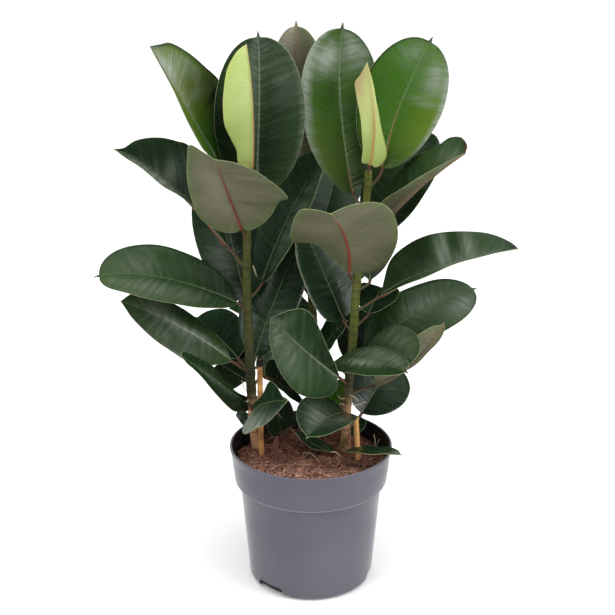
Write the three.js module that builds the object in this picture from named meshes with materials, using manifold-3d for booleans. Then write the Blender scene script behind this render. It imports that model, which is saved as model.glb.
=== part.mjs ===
// Potted robusta rubber plant: a grey nursery pot filled with coir soil, three upright woody stems,
// two support canes and the large leathery leaves.
// Millimetres, +Z up, origin at the centre of the pot's underside.
import * as THREE from "three";
import { mergeVertices } from "three/addons/utils/BufferGeometryUtils.js";
import Module from "manifold-3d";

const wasm = await Module();
wasm.setup();

// Pot
const POT_HEIGHT = 212;
const RIM_RADIUS = 120;
const COLLAR_FOOT_RADIUS = 113.5;
const COLLAR_FOOT_HEIGHT = 158;
const BODY_TOP_RADIUS = 105;
const BODY_FOOT_RADIUS = 93;
const BASE_RADIUS = 88.5;
const WALL = 2.2;
const FLOOR_THICKNESS = 3;
const LIP_HEIGHT = 12;
const LIP_INSET = 2.5;
const POT_SECTORS = 40;
const DRAIN_HOLES = 6;
const DRAIN_HOLE_RADIUS = 6;
const DRAIN_CIRCLE_RADIUS = 58;
const DRAIN_SECTORS = 12;
const NOTCH_AZIMUTHS = [-131, -11, 109];
const NOTCH_DEPTH = 26;
const NOTCH_WIDTH = 54;
const NOTCH_HEIGHT = 15;

// Soil
const SOIL_LEVEL = 189;
const SOIL_EDGE_DROP = 4;
const SOIL_RING_RADII = [100, 82, 62, 42, 22, 0];
const SOIL_SECTORS = 40;
const SOIL_CLEARANCE = 1;
const HOLLOW = { x: 2, y: 12, depth: 7, radius: 30 };

// Fit between pieces that touch
const GAP = 0.35;

// Stems and canes
const STEM_SIDES = 8;
const STEM_STEP = 34;
const NODE_SWELL = 0.5;
const STEM_DEPTH_IN_SOIL = 50;
const BURIED_LEAN = 0.85;
const CANE_RADIUS = 4.1;
const CANE_SIDES = 8;

// Husks
const HUSK_SIDES = 8;
const HUSK_FLATNESS = 0.4;

// Leaves
const BLADE_STATIONS = [0.03, 0.1, 0.22, 0.38, 0.55, 0.72, 0.86, 0.95, 1];
const BLADE_ACROSS = [-1, -0.5, 0, 0.5, 1];
const BLADE_THICKNESS = 1.2;
const BELLY = 1.1;
const ROUNDNESS = 0.46;
const TIP_START = 0.965;
const TIP_HALF_WIDTH = 2.5;
const TIP_END_HALF_WIDTH = 0.5;
const PETIOLE_RADIUS = 2.4;
const PETIOLE_STATIONS = [0, 0.3, 0.65, 1];
const KEEL_DEPTH = 2;

// Colours of the real plant, in daylight
const COLOURS = {
  pot: 0x6f6d78,
  soil: 0x6b3f2c,
  bark: 0x7d7245,
  cane: 0xb07838,
  husk: 0x7a4f3a,
  leaf: 0x23402c,
  youngLeaf: 0xbfd27c,
};

const STEMS = {
  left: {
    line: [[-82, 37, 189], [-88, 37, 265], [-91, 37, 361], [-93, 36, 423], [-91, 34, 523], [-88, 32, 612]],
    radii: [7.9, 5.6],
  },
  right: {
    line: [[51, 23, 189], [54, 23, 271], [60, 22, 351], [66, 20, 459], [78, 16, 585], [80, 14, 622]],
    radii: [7.6, 5.2],
  },
  back: {
    line: [[8, 66, 189], [6, 74, 290], [2, 84, 400], [-6, 98, 500], [-14, 112, 600]],
    radii: [7.4, 5.4],
  },
};

const CANES = {
  left: [[-73, 6, 110], [-75, 18, 340]],
  right: [[74, -43, 110], [67, 23, 243]],
};

// Dry papery sheaths that stand in the soil, each from its foot to its tip.
const HUSKS = {
  left: { line: [[-52, -4, 175], [-51, -9, 200], [-52, -14, 214], [-49, -18, 231]], sizes: [6, 5.5, 4, 2] },
  right: { line: [[50, -37, 178], [50, -36, 194], [49, -34, 207]], sizes: [4, 3.5, 1.5] },
};

// Each leaf leaves its stem at height `node`. Its midrib passes through three points: the foot of the blade,
// the middle and the tip. `face` is the way that the upper face looks. `fold` is how far each half is raised
// from flat at the midrib, and `curl` how much further at the margin, in degrees. A pair gives the two halves
// their own values, first the half on the left of someone who stands on the upper face and looks to the tip.
// A larger `belly` moves the widest place towards the tip. Most blades are ovals with a `width`; a blade of
// another shape has `margins`: for each half, points [along the midrib, out from it] from foot to tip.
const LEAVES = [
  { stem: "left", node: 598, rib: [[-85, 34, 619], [-83, 38, 704], [-89, 42, 789]], face: [-1, -0.35, 0],
    margins: [
      [[5, 14], [26, 18], [41, 26], [62, 35], [85, 37], [110, 35], [138, 28], [158, 13]],
      [[6, 19], [26, 23], [41, 31], [62, 41], [85, 43], [110, 41], [140, 33], [162, 16]],
    ],
    fold: 66, curl: 30, young: true },
  { stem: "left", node: 515, rib: [[-97, 22, 534], [-114, -30, 604], [-124, -105, 663]], face: [0.3, 0.64, 0.7],
    margins: [
      [[-2, 12], [10, 32], [32, 51], [69, 70], [83, 84], [117, 71], [159, 51], [183, 27]],
      [[-7, 12], [-4, 32], [17, 53], [46, 57], [101, 52], [176, 38], [236, 26], [213, 12]],
    ],
    fold: [5, -8], curl: [5, -8] },
  { stem: "left", node: 562, rib: [[-78, 46, 582], [-72, 66, 698], [-74, 88, 801]], face: [0.05, -0.95, 0.2],
    width: 130, fold: 10, curl: 6, belly: 1 },
  { stem: "left", node: 568, rib: [[-112, 42, 594], [-160, 42, 680], [-219, 42, 787]], face: [0.7, -0.42, 0.59],
    margins: [
      [[26, 14], [53, 27], [72, 46], [97, 47], [131, 34], [166, 20], [193, 6], [208, 3]],
      [[32, 13], [66, 39], [98, 62], [128, 72], [156, 63], [185, 50], [209, 33], [216, 15]],
    ],
    fold: [24, 20], curl: 0 },
  { stem: "left", node: 470, rib: [[-123, 76, 495], [-205, 73, 591], [-276, 47, 643]], face: [0.6, -0.6, 0.5],
    margins: [
      [[29, 10], [55, 10], [82, 12], [106, 22], [133, 35], [159, 34], [183, 28], [205, 18]],
      [[53, 26], [101, 50], [135, 58], [152, 52], [169, 44], [185, 33], [198, 21], [207, 7]],
    ],
    fold: 38, curl: 0 },
  { stem: "left", node: 388, rib: [[-96, 76, 408], [-120, 102, 501], [-144, 122, 603]], face: [0.1, -0.95, 0.3],
    width: 106, fold: 14, curl: 0 },
  { stem: "left", node: 405, rib: [[-107, 24, 424], [-215, 10, 467], [-307, 0, 470]], face: [0, -0.39, 0.92],
    width: 120, fold: 10, curl: -4, belly: 1.25 },
  { stem: "left", node: 311, rib: [[-117, 20, 336], [-192, 8, 393], [-270, -4, 435]], face: [0.4, -0.3, 0.85],
    margins: [
      [[5, 11], [25, 29], [49, 44], [73, 49], [100, 46], [124, 40], [144, 32], [163, 21], [175, 10]],
      [[8, 10], [24, 19], [45, 25], [66, 28], [86, 31], [108, 32], [129, 31], [151, 26], [169, 22], [177, 13]],
    ],
    fold: [-10, 20], curl: -6 },
  { stem: "left", node: 240, rib: [[-92, 53, 250], [-137, -22, 320], [-178, -92, 388]], face: [0.5, -0.5, 0.7],
    margins: [
      [[12, 14], [28, 22], [46, 27], [65, 31], [90, 30], [116, 24], [147, 16], [182, 8], [201, 6]],
      [[6, 10], [19, 9], [35, 7], [55, 8], [73, 13], [98, 16], [129, 20], [160, 17], [188, 13], [212, 8]],
    ],
    fold: [0, 10], curl: 0 },
  { stem: "left", node: 312, rib: [[-109, 54, 326], [-143, 120, 335], [-184, 195, 340]], face: [-0.3, -0.2, 0.9],
    width: 88, fold: 16, curl: 0 },
  { stem: "left", node: 220, rib: [[-90, 54, 229], [-97, 56, 221], [-103, 55, 213]], face: [-0.64, -0.77, 0.1],
    width: 46, fold: 8, curl: 0 },
  { stem: "left", node: 256, rib: [[-84, 0, 266], [-61, -43, 296], [-33, -90, 319]], face: [-0.84, -0.31, 0.37],
    margins: [
      [[8, 8], [20, 9], [46, 13], [69, 27], [84, 27], [96, 16], [105, 5]],
      [[-12, 10], [-28, 16], [-24, 30], [10, 43], [59, 41], [89, 30], [107, 14]],
    ],
    fold: [25, 14], curl: 0 },
  { stem: "left", node: 423, rib: [[-71, 55, 446], [-35, 62, 536], [20, 76, 636]], face: [-0.8, -0.45, 0.2],
    width: 112, fold: 12, curl: 0 },
  { stem: "left", node: 308, rib: [[-83, 55, 328], [-56, 76, 404], [-16, 96, 496]], face: [-0.48, -0.77, 0.42],
    width: 104, fold: 14, curl: 0 },
  { stem: "left", node: 280, rib: [[-97, 56, 289], [-122, 104, 284], [-146, 150, 280]], face: [-0.6, -0.3, 0.74],
    width: 82, fold: 12, curl: 0, belly: 0.85 },
  { stem: "left", node: 268, rib: [[-71, 38, 262], [-52, 44, 238], [-45, 52, 200]], face: [0.7, -0.7, 0.1],
    width: 58, fold: 14, curl: 0 },
  { stem: "left", node: 286, rib: [[-68, 60, 294], [-46, 98, 266], [-18, 136, 232]], face: [0.81, -0.06, 0.58],
    width: 76, fold: 14, curl: 0 },
  { stem: "left", node: 306, rib: [[-104, 62, 317], [-146, 132, 316], [-182, 204, 306]], face: [0, -0.4, 0.9],
    width: 104, fold: 14, curl: 0 },
  { stem: "right", node: 606, rib: [[80, 10, 630], [85, 8, 695], [75, 16, 768]], face: [-0.35, 0.9, 0.1],
    margins: [
      [[-5, 12], [1, 22], [13, 26], [31, 20], [55, 11], [82, 6], [111, 4]],
      [[0, 11], [18, 13], [40, 16], [72, 19], [98, 22], [116, 22], [126, 12]],
    ],
    fold: [8, 30], curl: [0, 10], young: true },
  { stem: "right", node: 455, rib: [[54, 6, 475], [48, -45, 537], [25, -120, 595]], face: [-0.1, 0.8, 0.5],
    margins: [
      [[-5, 14], [-12, 40], [3, 58], [33, 70], [77, 73], [119, 68], [152, 50], [173, 26]],
      [[0, 7], [15, 17], [28, 29], [60, 46], [59, 80], [119, 69], [188, 41], [198, 20]],
    ],
    fold: [6, 20], curl: [10, 0] },
  { stem: "right", node: 565, rib: [[59, 34, 583], [41, 68, 701], [44, 80, 814]], face: [0, -1, 0.05],
    width: 112, fold: 8, curl: 4, belly: 1.25 },
  { stem: "right", node: 595, rib: [[99, 24, 621], [125, 52, 707], [168, 72, 795]], face: [-0.1, -0.95, 0.25],
    width: 118, fold: 8, curl: 4 },
  { stem: "right", node: 498, rib: [[93, 40, 519], [134, 82, 591], [172, 120, 658]], face: [-0.44, -0.64, 0.63],
    width: 112, fold: 16, curl: 0 },
  { stem: "right", node: 532, rib: [[107, 20, 551], [152, -10, 607], [205, -48, 659]], face: [-0.74, 0.01, 0.68],
    margins: [
      [[12, 44], [42, 51], [71, 52], [100, 44], [121, 39], [139, 39], [157, 28], [166, 10]],
      [[9, 20], [21, 22], [42, 18], [65, 14], [87, 10], [109, 7], [131, 4], [150, 2]],
    ],
    fold: [30, 80], curl: 0 },
  { stem: "right", node: 412, rib: [[100, 12, 439], [181, -8, 489], [286, -26, 520]], face: [-0.43, -0.12, 0.9],
    margins: [
      [[8, 15], [27, 44], [49, 56], [77, 60], [113, 54], [149, 42], [178, 29], [199, 13]],
      [[6, 14], [23, 34], [44, 39], [76, 43], [110, 33], [149, 22], [176, 12], [195, 7]],
    ],
    fold: [28, 17], curl: 0 },
  { stem: "right", node: 340, rib: [[84, 28, 350], [163, 66, 397], [250, 104, 419]], face: [-0.3, -0.5, 0.8],
    width: 110, fold: [-4, -2], curl: 0 },
  { stem: "right", node: 278, rib: [[95, 32, 292], [150, 10, 338], [190, -2, 402]], face: [-0.41, 0.7, 0.58],
    width: 72, fold: 18, curl: 0 },
  { stem: "right", node: 324, rib: [[80, 14, 344], [116, -14, 362], [142, -44, 354]], face: [-0.3, -0.55, 0.78],
    width: 84, fold: 12, curl: -8 },
  { stem: "right", node: 312, rib: [[35, 14, 337], [78, -40, 360], [133, -96, 363]], face: [-0.26, -0.14, 0.96],
    width: 74, fold: 4, curl: -5, belly: 0.85 },
  { stem: "right", node: 222, rib: [[77, 49, 238], [101, 85, 263], [134, 136, 284]], face: [0, -0.9, 0.4],
    width: 95, fold: 12, curl: 0, belly: 1.05 },
  { stem: "right", node: 245, rib: [[50, 10, 257], [20, -41, 268], [-6, -92, 263]], face: [0.3, -0.3, 0.9],
    width: 86, fold: [30, 14], curl: 0 },
  { stem: "right", node: 300, rib: [[38, -64, 344], [-13, -71, 391], [-55, -78, 437]], face: [-0.35, -0.7, 0.6],
    margins: [
      [[-8, 10], [-7, 27], [8, 43], [29, 52], [58, 49], [86, 38], [108, 24], [122, 11]],
      [[16, 12], [37, 22], [67, 36], [97, 47], [116, 45], [126, 31], [130, 16], [131, 6]],
    ],
    fold: [0, 26], curl: 0 },
  { stem: "right", node: 378, rib: [[47, 36, 395], [20, 48, 457], [-14, 66, 531]], face: [0.56, -0.72, 0.41],
    width: 97, fold: 12, curl: 0, belly: 0.78 },
  { stem: "right", node: 207, rib: [[48, -30, 213], [88, -48, 221], [130, -62, 223]], face: [-0.02, 0.25, 0.97],
    width: 58, fold: 6, curl: 0 },
  { stem: "right", node: 200, rib: [[58, 40, 205], [60, 62, 210], [60, 92, 214]], face: [0, -0.6, 0.8],
    width: 50, fold: 10, curl: 0 },
  { stem: "right", node: 196, rib: [[34, 2, 197], [10, 18, 197], [-24, 44, 210]], face: [0.25, -0.1, 0.96],
    width: 34, fold: 14, curl: 0 },
  { stem: "right", node: 240, rib: [[46, 46, 252], [40, 84, 257], [31, 124, 250]], face: [-0.5, -0.2, 0.84],
    width: 46, fold: 12, curl: 0 },
  { stem: "right", node: 386, rib: [[84, 38, 402], [99, 94, 409], [112, 150, 404]], face: [0.1, -0.1, 1],
    width: 66, fold: 14, curl: 0 },
  { stem: "right", node: 440, rib: [[86, 50, 450], [84, 140, 486], [72, 230, 492]], face: [0, -0.4, 0.9],
    width: 100, fold: 14, curl: 0, belly: 1.4 },
  { stem: "right", node: 300, rib: [[68, 48, 312], [92, 140, 340], [112, 224, 336]], face: [0, -0.3, 0.95],
    width: 100, fold: 14, curl: 0 },
  { stem: "back", node: 585, rib: [[-16, 106, 600], [-20, 108, 709], [-21, 114, 812]], face: [0.1, 0.95, 0.2],
    width: 84, fold: 12, curl: 10 },
  { stem: "back", node: 308, rib: [[14, 76, 322], [28, 70, 350], [54, 62, 382]], face: [-0.73, -0.29, 0.62],
    width: 66, fold: 12, curl: 0 },
  { stem: "back", node: 555, rib: [[-24, 122, 570], [-52, 196, 632], [-78, 258, 664]], face: [0.1, -0.5, 0.85],
    width: 108, fold: 14, curl: 0 },
  { stem: "back", node: 490, rib: [[12, 114, 502], [36, 190, 566], [46, 258, 606]], face: [-0.1, -0.5, 0.85],
    width: 104, fold: 14, curl: 0 },
  { stem: "back", node: 440, rib: [[-12, 104, 452], [-30, 196, 486], [-46, 276, 494]], face: [0, -0.4, 0.9],
    width: 108, fold: 14, curl: 0 },
  { stem: "back", node: 385, rib: [[10, 98, 398], [44, 184, 428], [74, 258, 430]], face: [0, -0.4, 0.9],
    width: 108, fold: 14, curl: 0 },
  { stem: "back", node: 330, rib: [[-10, 94, 342], [-66, 170, 362], [-124, 228, 350]], face: [0.1, -0.4, 0.9],
    width: 104, fold: 14, curl: 0 },
  { stem: "back", node: 244, rib: [[4, 114, 258], [-26, 216, 250], [-96, 246, 230]], face: [0, -0.75, 0.6],
    width: 78, fold: 12, curl: 0, belly: 1.4 },
];

// Materials

function standardMaterial(color, roughness) {
  return new THREE.MeshStandardMaterial({ color, roughness, metalness: 0 });
}

// Solids

function toSolid(geometry) {
  const bare = (geometry.index ? geometry.toNonIndexed() : geometry.clone())
    .deleteAttribute("normal")
    .deleteAttribute("uv");
  const merged = mergeVertices(bare, 1e-3);
  const kept = [];
  const index = merged.index.array;
  for (let i = 0; i < index.length; i += 3) {
    const [a, b, c] = [index[i], index[i + 1], index[i + 2]];
    if (a !== b && b !== c && a !== c) kept.push(a, b, c);
  }
  return new wasm.Manifold(
    new wasm.Mesh({
      numProp: 3,
      vertProperties: merged.attributes.position.array,
      triVerts: new Uint32Array(kept),
    }),
  );
}

function toGeometry(solid) {
  const mesh = solid.getMesh();
  const geometry = new THREE.BufferGeometry();
  geometry.setAttribute("position", new THREE.BufferAttribute(mesh.vertProperties.slice(), 3));
  geometry.setIndex(new THREE.BufferAttribute(mesh.triVerts.slice(), 1));
  geometry.computeVertexNormals();
  return geometry;
}

function namedMesh(name, geometry, material) {
  const mesh = new THREE.Mesh(geometry, material);
  mesh.name = name;
  return mesh;
}

// A closed body through rings of equal length, each an even list of points round the section.
// Each end is closed by a ladder of quads between the first half of its ring and the second.
function loftSolid(rings) {
  const sides = rings[0].length;
  const points = rings.flat();
  const faces = [];
  for (let ring = 0; ring + 1 < rings.length; ring += 1) {
    for (let k = 0; k < sides; k += 1) {
      const a = ring * sides + k;
      const b = ring * sides + ((k + 1) % sides);
      faces.push(a, b, b + sides, a, b + sides, a + sides);
    }
  }
  const last = (rings.length - 1) * sides;
  for (let k = 0; k + 1 < sides / 2; k += 1) {
    const [a, b, c, d] = [k, k + 1, sides - 2 - k, sides - 1 - k];
    faces.push(a, c, b, a, d, c);
    faces.push(last + a, last + b, last + c, last + a, last + c, last + d);
  }
  const geometry = new THREE.BufferGeometry().setFromPoints(points).setIndex(faces);
  const solid = toSolid(geometry);
  if (solid.volume() > 0) return solid;
  const turned = faces.slice();
  for (let i = 0; i < turned.length; i += 3) [turned[i + 1], turned[i + 2]] = [turned[i + 2], turned[i + 1]];
  return toSolid(new THREE.BufferGeometry().setFromPoints(points).setIndex(turned));
}

function latheSolid(profile, sectors) {
  const points = profile.map(([r, z]) => new THREE.Vector2(r, z));
  const geometry = new THREE.LatheGeometry(points, sectors).rotateX(Math.PI / 2);
  return toSolid(geometry);
}

// Pot

function potProfile() {
  const lipFoot = POT_HEIGHT - LIP_HEIGHT;
  return [
    [0, 0],
    [BASE_RADIUS - 2, 0],
    [BASE_RADIUS, 1],
    [BODY_FOOT_RADIUS - 0.8, 5],
    [BODY_FOOT_RADIUS, 9],
    [BODY_TOP_RADIUS, COLLAR_FOOT_HEIGHT - 4],
    [COLLAR_FOOT_RADIUS - 3, COLLAR_FOOT_HEIGHT - 2],
    [COLLAR_FOOT_RADIUS, COLLAR_FOOT_HEIGHT + 3],
    [RIM_RADIUS - LIP_INSET, lipFoot],
    [RIM_RADIUS - 0.4, POT_HEIGHT - 4],
    [RIM_RADIUS, POT_HEIGHT - 2],
    [RIM_RADIUS - 1, POT_HEIGHT],
    [RIM_RADIUS - 3.2, POT_HEIGHT],
    [RIM_RADIUS - LIP_INSET - WALL, lipFoot],
    [COLLAR_FOOT_RADIUS - WALL, COLLAR_FOOT_HEIGHT + 4],
    [BODY_TOP_RADIUS - WALL, COLLAR_FOOT_HEIGHT + 1],
    [BODY_FOOT_RADIUS - WALL, 9],
    [BASE_RADIUS - WALL, FLOOR_THICKNESS],
    [0, FLOOR_THICKNESS],
  ];
}

function drainHole(azimuth) {
  const hole = new THREE.CylinderGeometry(DRAIN_HOLE_RADIUS, DRAIN_HOLE_RADIUS, 20, DRAIN_SECTORS);
  hole.rotateX(Math.PI / 2);
  hole.translate(DRAIN_CIRCLE_RADIUS * Math.cos(azimuth), DRAIN_CIRCLE_RADIUS * Math.sin(azimuth), 0);
  return toSolid(hole);
}

// An opening in the foot of the wall, with leaning sides and cut corners.
function footNotch(azimuth) {
  const half = NOTCH_WIDTH / 2;
  const right = [
    [half, -1],
    [half - 4, NOTCH_HEIGHT - 4],
    [half - 9, NOTCH_HEIGHT],
  ];
  const left = right.map(([x, y]) => [-x, y]).reverse();
  const outline = new THREE.Shape([...right, ...left].map(([x, y]) => new THREE.Vector2(x, y)));
  const notch = new THREE.ExtrudeGeometry(outline, { depth: NOTCH_DEPTH, bevelEnabled: false });
  notch.rotateX(Math.PI / 2);
  notch.rotateZ(Math.PI / 2);
  notch.translate(BASE_RADIUS - NOTCH_DEPTH / 2, 0, 0);
  notch.rotateZ(azimuth);
  return toSolid(notch);
}

function potSolid() {
  let pot = latheSolid(potProfile(), POT_SECTORS);
  for (let k = 0; k < DRAIN_HOLES; k += 1) {
    pot = pot.subtract(drainHole(((k + 0.5) * 2 * Math.PI) / DRAIN_HOLES));
  }
  for (const degrees of NOTCH_AZIMUTHS) {
    pot = pot.subtract(footNotch(THREE.MathUtils.degToRad(degrees)));
  }
  return pot;
}

// Soil: a plug that fills the pot, with an uneven crumbly top and a plain hole for each stem and cane.

function soilHeight(x, y) {
  const fromHollow = Math.hypot(x - HOLLOW.x, y - HOLLOW.y) / HOLLOW.radius;
  const hollow = -HOLLOW.depth * Math.exp(-(fromHollow ** 2));
  const mounds = 2.4 * Math.sin(x / 17 + 0.6) * Math.cos(y / 21 - 0.4) + 1.2 * Math.sin((x + y) / 8);
  const settledEdge = -0.0003 * (x * x + y * y);
  return SOIL_LEVEL + hollow + mounds + settledEdge;
}

function soilSolid(holes) {
  const profile = [
    [0, FLOOR_THICKNESS + GAP],
    [BASE_RADIUS - WALL - SOIL_CLEARANCE, FLOOR_THICKNESS + GAP],
    [BODY_FOOT_RADIUS - WALL - SOIL_CLEARANCE, 10],
    [BODY_TOP_RADIUS - WALL - SOIL_CLEARANCE, COLLAR_FOOT_HEIGHT + 2],
    [COLLAR_FOOT_RADIUS - WALL - SOIL_CLEARANCE, COLLAR_FOOT_HEIGHT + 6],
    [RIM_RADIUS - WALL - 5.4, SOIL_LEVEL - SOIL_EDGE_DROP],
    ...SOIL_RING_RADII.map((radius) => [radius, SOIL_LEVEL]),
  ];
  const points = profile.map(([r, z]) => new THREE.Vector2(r, z));
  const geometry = new THREE.LatheGeometry(points, SOIL_SECTORS).rotateX(Math.PI / 2);
  const position = geometry.attributes.position;
  for (let i = 0; i < position.count; i += 1) {
    if (position.getZ(i) < SOIL_LEVEL - SOIL_EDGE_DROP - 1) continue;
    position.setZ(i, soilHeight(position.getX(i), position.getY(i)));
  }
  return holes.reduce((solid, hole) => solid.subtract(hole), toSolid(geometry));
}

// Stems

function vector([x, y, z]) {
  return new THREE.Vector3(x, y, z);
}

function ringAround(centre, tangent, radius, sides) {
  const across = new THREE.Vector3(1, 0, 0).addScaledVector(tangent, -tangent.x).normalize();
  const along = new THREE.Vector3().crossVectors(tangent, across);
  return Array.from({ length: sides }, (_, k) => {
    const angle = (2 * Math.PI * k) / sides;
    return centre
      .clone()
      .addScaledVector(across, radius * Math.cos(angle))
      .addScaledVector(along, radius * Math.sin(angle));
  });
}

function stemCurve({ line }) {
  const foot = vector(line[0]);
  foot.z -= STEM_DEPTH_IN_SOIL;
  foot.multiply(new THREE.Vector3(BURIED_LEAN, BURIED_LEAN, 1));
  return new THREE.CatmullRomCurve3([foot, ...line.map(vector)]);
}

function stemSolid(stem, extra) {
  const curve = stemCurve(stem);
  const steps = Math.round(curve.getLength() / STEM_STEP);
  const rings = [];
  for (let i = 0; i <= steps; i += 1) {
    const u = i / steps;
    const swell = i % 2 ? NODE_SWELL : 0;
    const radius = THREE.MathUtils.lerp(stem.radii[0], stem.radii[1], u) + swell + extra;
    const tangent = curve.getTangentAt(u);
    const centre = curve.getPointAt(u).addScaledVector(tangent, i === 0 ? -extra : 0);
    rings.push(ringAround(centre, tangent, radius, STEM_SIDES));
  }
  return loftSolid(rings);
}

function stemPointAt(stem, height) {
  const curve = stemCurve(stem);
  let low = 0;
  let high = 1;
  while (high - low > 1e-4) {
    const middle = (low + high) / 2;
    if (curve.getPointAt(middle).z < height) low = middle;
    else high = middle;
  }
  return curve.getPointAt(low);
}

function caneSolid([foot, head], radius, extra) {
  const [a, b] = [vector(foot), vector(head)];
  const tangent = b.clone().sub(a).normalize();
  a.addScaledVector(tangent, -extra);
  return loftSolid([a, b].map((end) => ringAround(end, tangent, radius + extra, CANE_SIDES)));
}

// Husks: flat, slightly dished sheaths.

function huskSolid({ line, sizes }, extra) {
  const curve = new THREE.CatmullRomCurve3(line.map(vector));
  const rings = sizes.map((size, i) => {
    const u = i / (sizes.length - 1);
    const tangent = curve.getTangentAt(u);
    const centre = curve.getPointAt(u).addScaledVector(tangent, i === 0 ? -extra : 0);
    const ring = ringAround(centre, tangent, 1, HUSK_SIDES);
    return ring.map((point) => {
      const offset = point.clone().sub(centre);
      const flat = new THREE.Vector3(offset.x, offset.y * HUSK_FLATNESS, offset.z * HUSK_FLATNESS);
      return centre.clone().addScaledVector(flat, size).addScaledVector(offset, extra);
    });
  });
  return loftSolid(rings);
}

// Leaves

// Half the width of an oval blade at s, from 0 at its foot to 1 at the end of its drip tip.
function halfWidth(s, leaf) {
  const x = Math.min(1, (s / TIP_START) ** (leaf.belly ?? BELLY));
  const oval = (leaf.width / 2) * (1 - (2 * x - 1) ** 2) ** ROUNDNESS;
  const tip = TIP_HALF_WIDTH * Math.min(1, (1 - s) / (1 - TIP_START)) + TIP_END_HALF_WIDTH;
  return Math.max(oval, tip);
}

function orthogonal(hint, tangent) {
  return hint.clone().addScaledVector(tangent, -hint.dot(tangent)).normalize();
}

function pair(value) {
  return Array.isArray(value) ? value : [value, value];
}

// A point of the blade's section in its own plane: how far out, how far up, and the surface's slope there.
function sectionPoint(q, half, fold, curl) {
  const out = Math.abs(q);
  const bend = Math.abs(curl) < 1e-3 ? 1e-3 : curl;
  const slope = fold + bend * out;
  const reach = (half * (Math.sin(slope) - Math.sin(fold))) / bend;
  const rise = (half * (Math.cos(fold) - Math.cos(slope))) / bend;
  return { reach: Math.sign(q) * reach, rise, slope: Math.sign(q) * slope };
}

function ribCurve([foot, middle, tip]) {
  const [a, m, b] = [vector(foot), vector(middle), vector(tip)];
  const control = m.clone().multiplyScalar(2).addScaledVector(a, -0.5).addScaledVector(b, -0.5);
  return new THREE.QuadraticBezierCurve3(a, control, b);
}

// Where the row of points that starts at s on the midrib ends on the margin: how far along, and how far out.
function marginPoint(leaf, length, s, which) {
  if (!leaf.margins) return { along: s * length, out: halfWidth(s, leaf) };
  const foot = new THREE.Vector2(0, PETIOLE_RADIUS);
  const tip = new THREE.Vector2(length, TIP_END_HALF_WIDTH);
  const shape = leaf.margins[which].map(([along, out]) => new THREE.Vector2(along, out));
  const point = new THREE.SplineCurve([foot, ...shape, tip]).getPoint(s);
  return { along: point.x, out: point.y };
}

function bladeRing(leaf, curve, s) {
  const length = curve.getLength();
  const folds = pair(leaf.fold).map(THREE.MathUtils.degToRad);
  const curls = pair(leaf.curl).map(THREE.MathUtils.degToRad);
  const top = [];
  const bottom = [];
  for (const q of BLADE_ACROSS) {
    const which = q > 0 ? 1 : 0;
    const end = marginPoint(leaf, length, s, which);
    const along = THREE.MathUtils.lerp(s * length, end.along, Math.abs(q));
    const at = THREE.MathUtils.clamp(along / length, 0, 1);
    const tangent = curve.getTangentAt(at);
    const up = orthogonal(vector(leaf.face), tangent);
    const side = new THREE.Vector3().crossVectors(tangent, up);
    const centre = curve.getPointAt(at).addScaledVector(tangent, along - at * length);
    const { reach, rise, slope } = sectionPoint(q, end.out, folds[which], curls[which]);
    const point = centre.clone().addScaledVector(side, reach).addScaledVector(up, rise);
    const normal = up.clone().multiplyScalar(Math.cos(slope)).addScaledVector(side, -Math.sin(slope));
    const depth = q === 0 ? BLADE_THICKNESS + KEEL_DEPTH * (1 - s) : BLADE_THICKNESS;
    top.push(point);
    bottom.push(point.clone().addScaledVector(q === 0 ? up : normal, -depth));
  }
  return [...top, ...bottom.reverse()];
}

// An oval has the same stations for every leaf; given margins have a station at each of their points.
function bladeStations({ margins }) {
  if (!margins) return BLADE_STATIONS;
  const steps = margins[0].length + 1;
  return [BLADE_STATIONS[0], ...Array.from({ length: steps }, (_, k) => (k + 1) / steps)];
}

function petioleRing(centre, tangent, hint) {
  const up = orthogonal(hint, tangent);
  const side = new THREE.Vector3().crossVectors(tangent, up);
  const count = 2 * BLADE_ACROSS.length;
  return Array.from({ length: count }, (_, k) => {
    const angle = Math.PI - (2 * Math.PI * (k + 0.5)) / count;
    return centre
      .clone()
      .addScaledVector(side, PETIOLE_RADIUS * Math.cos(angle))
      .addScaledVector(up, PETIOLE_RADIUS * Math.sin(angle));
  });
}

function petioleCurve(leaf, curve) {
  const root = stemPointAt(STEMS[leaf.stem], leaf.node);
  const foot = curve.getPointAt(0);
  const reach = root.distanceTo(foot);
  const outward = new THREE.Vector3(foot.x - root.x, foot.y - root.y, 0.35 * reach).normalize();
  return new THREE.CubicBezierCurve3(
    root,
    root.clone().addScaledVector(outward, 0.4 * reach),
    foot.clone().addScaledVector(curve.getTangentAt(0), -0.35 * reach),
    foot,
  );
}

function leafSolid(leaf, stemHole) {
  const curve = ribCurve(leaf.rib);
  const petiole = petioleCurve(leaf, curve);
  const hint = vector(leaf.face);
  const rings = PETIOLE_STATIONS.map((u) => petioleRing(petiole.getPointAt(u), petiole.getTangentAt(u), hint));
  for (const s of bladeStations(leaf)) rings.push(bladeRing(leaf, curve, s));
  return loftSolid(rings).subtract(stemHole);
}

// Assembly

const plant = new THREE.Group();
plant.name = "potted_rubber_plant";

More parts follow.
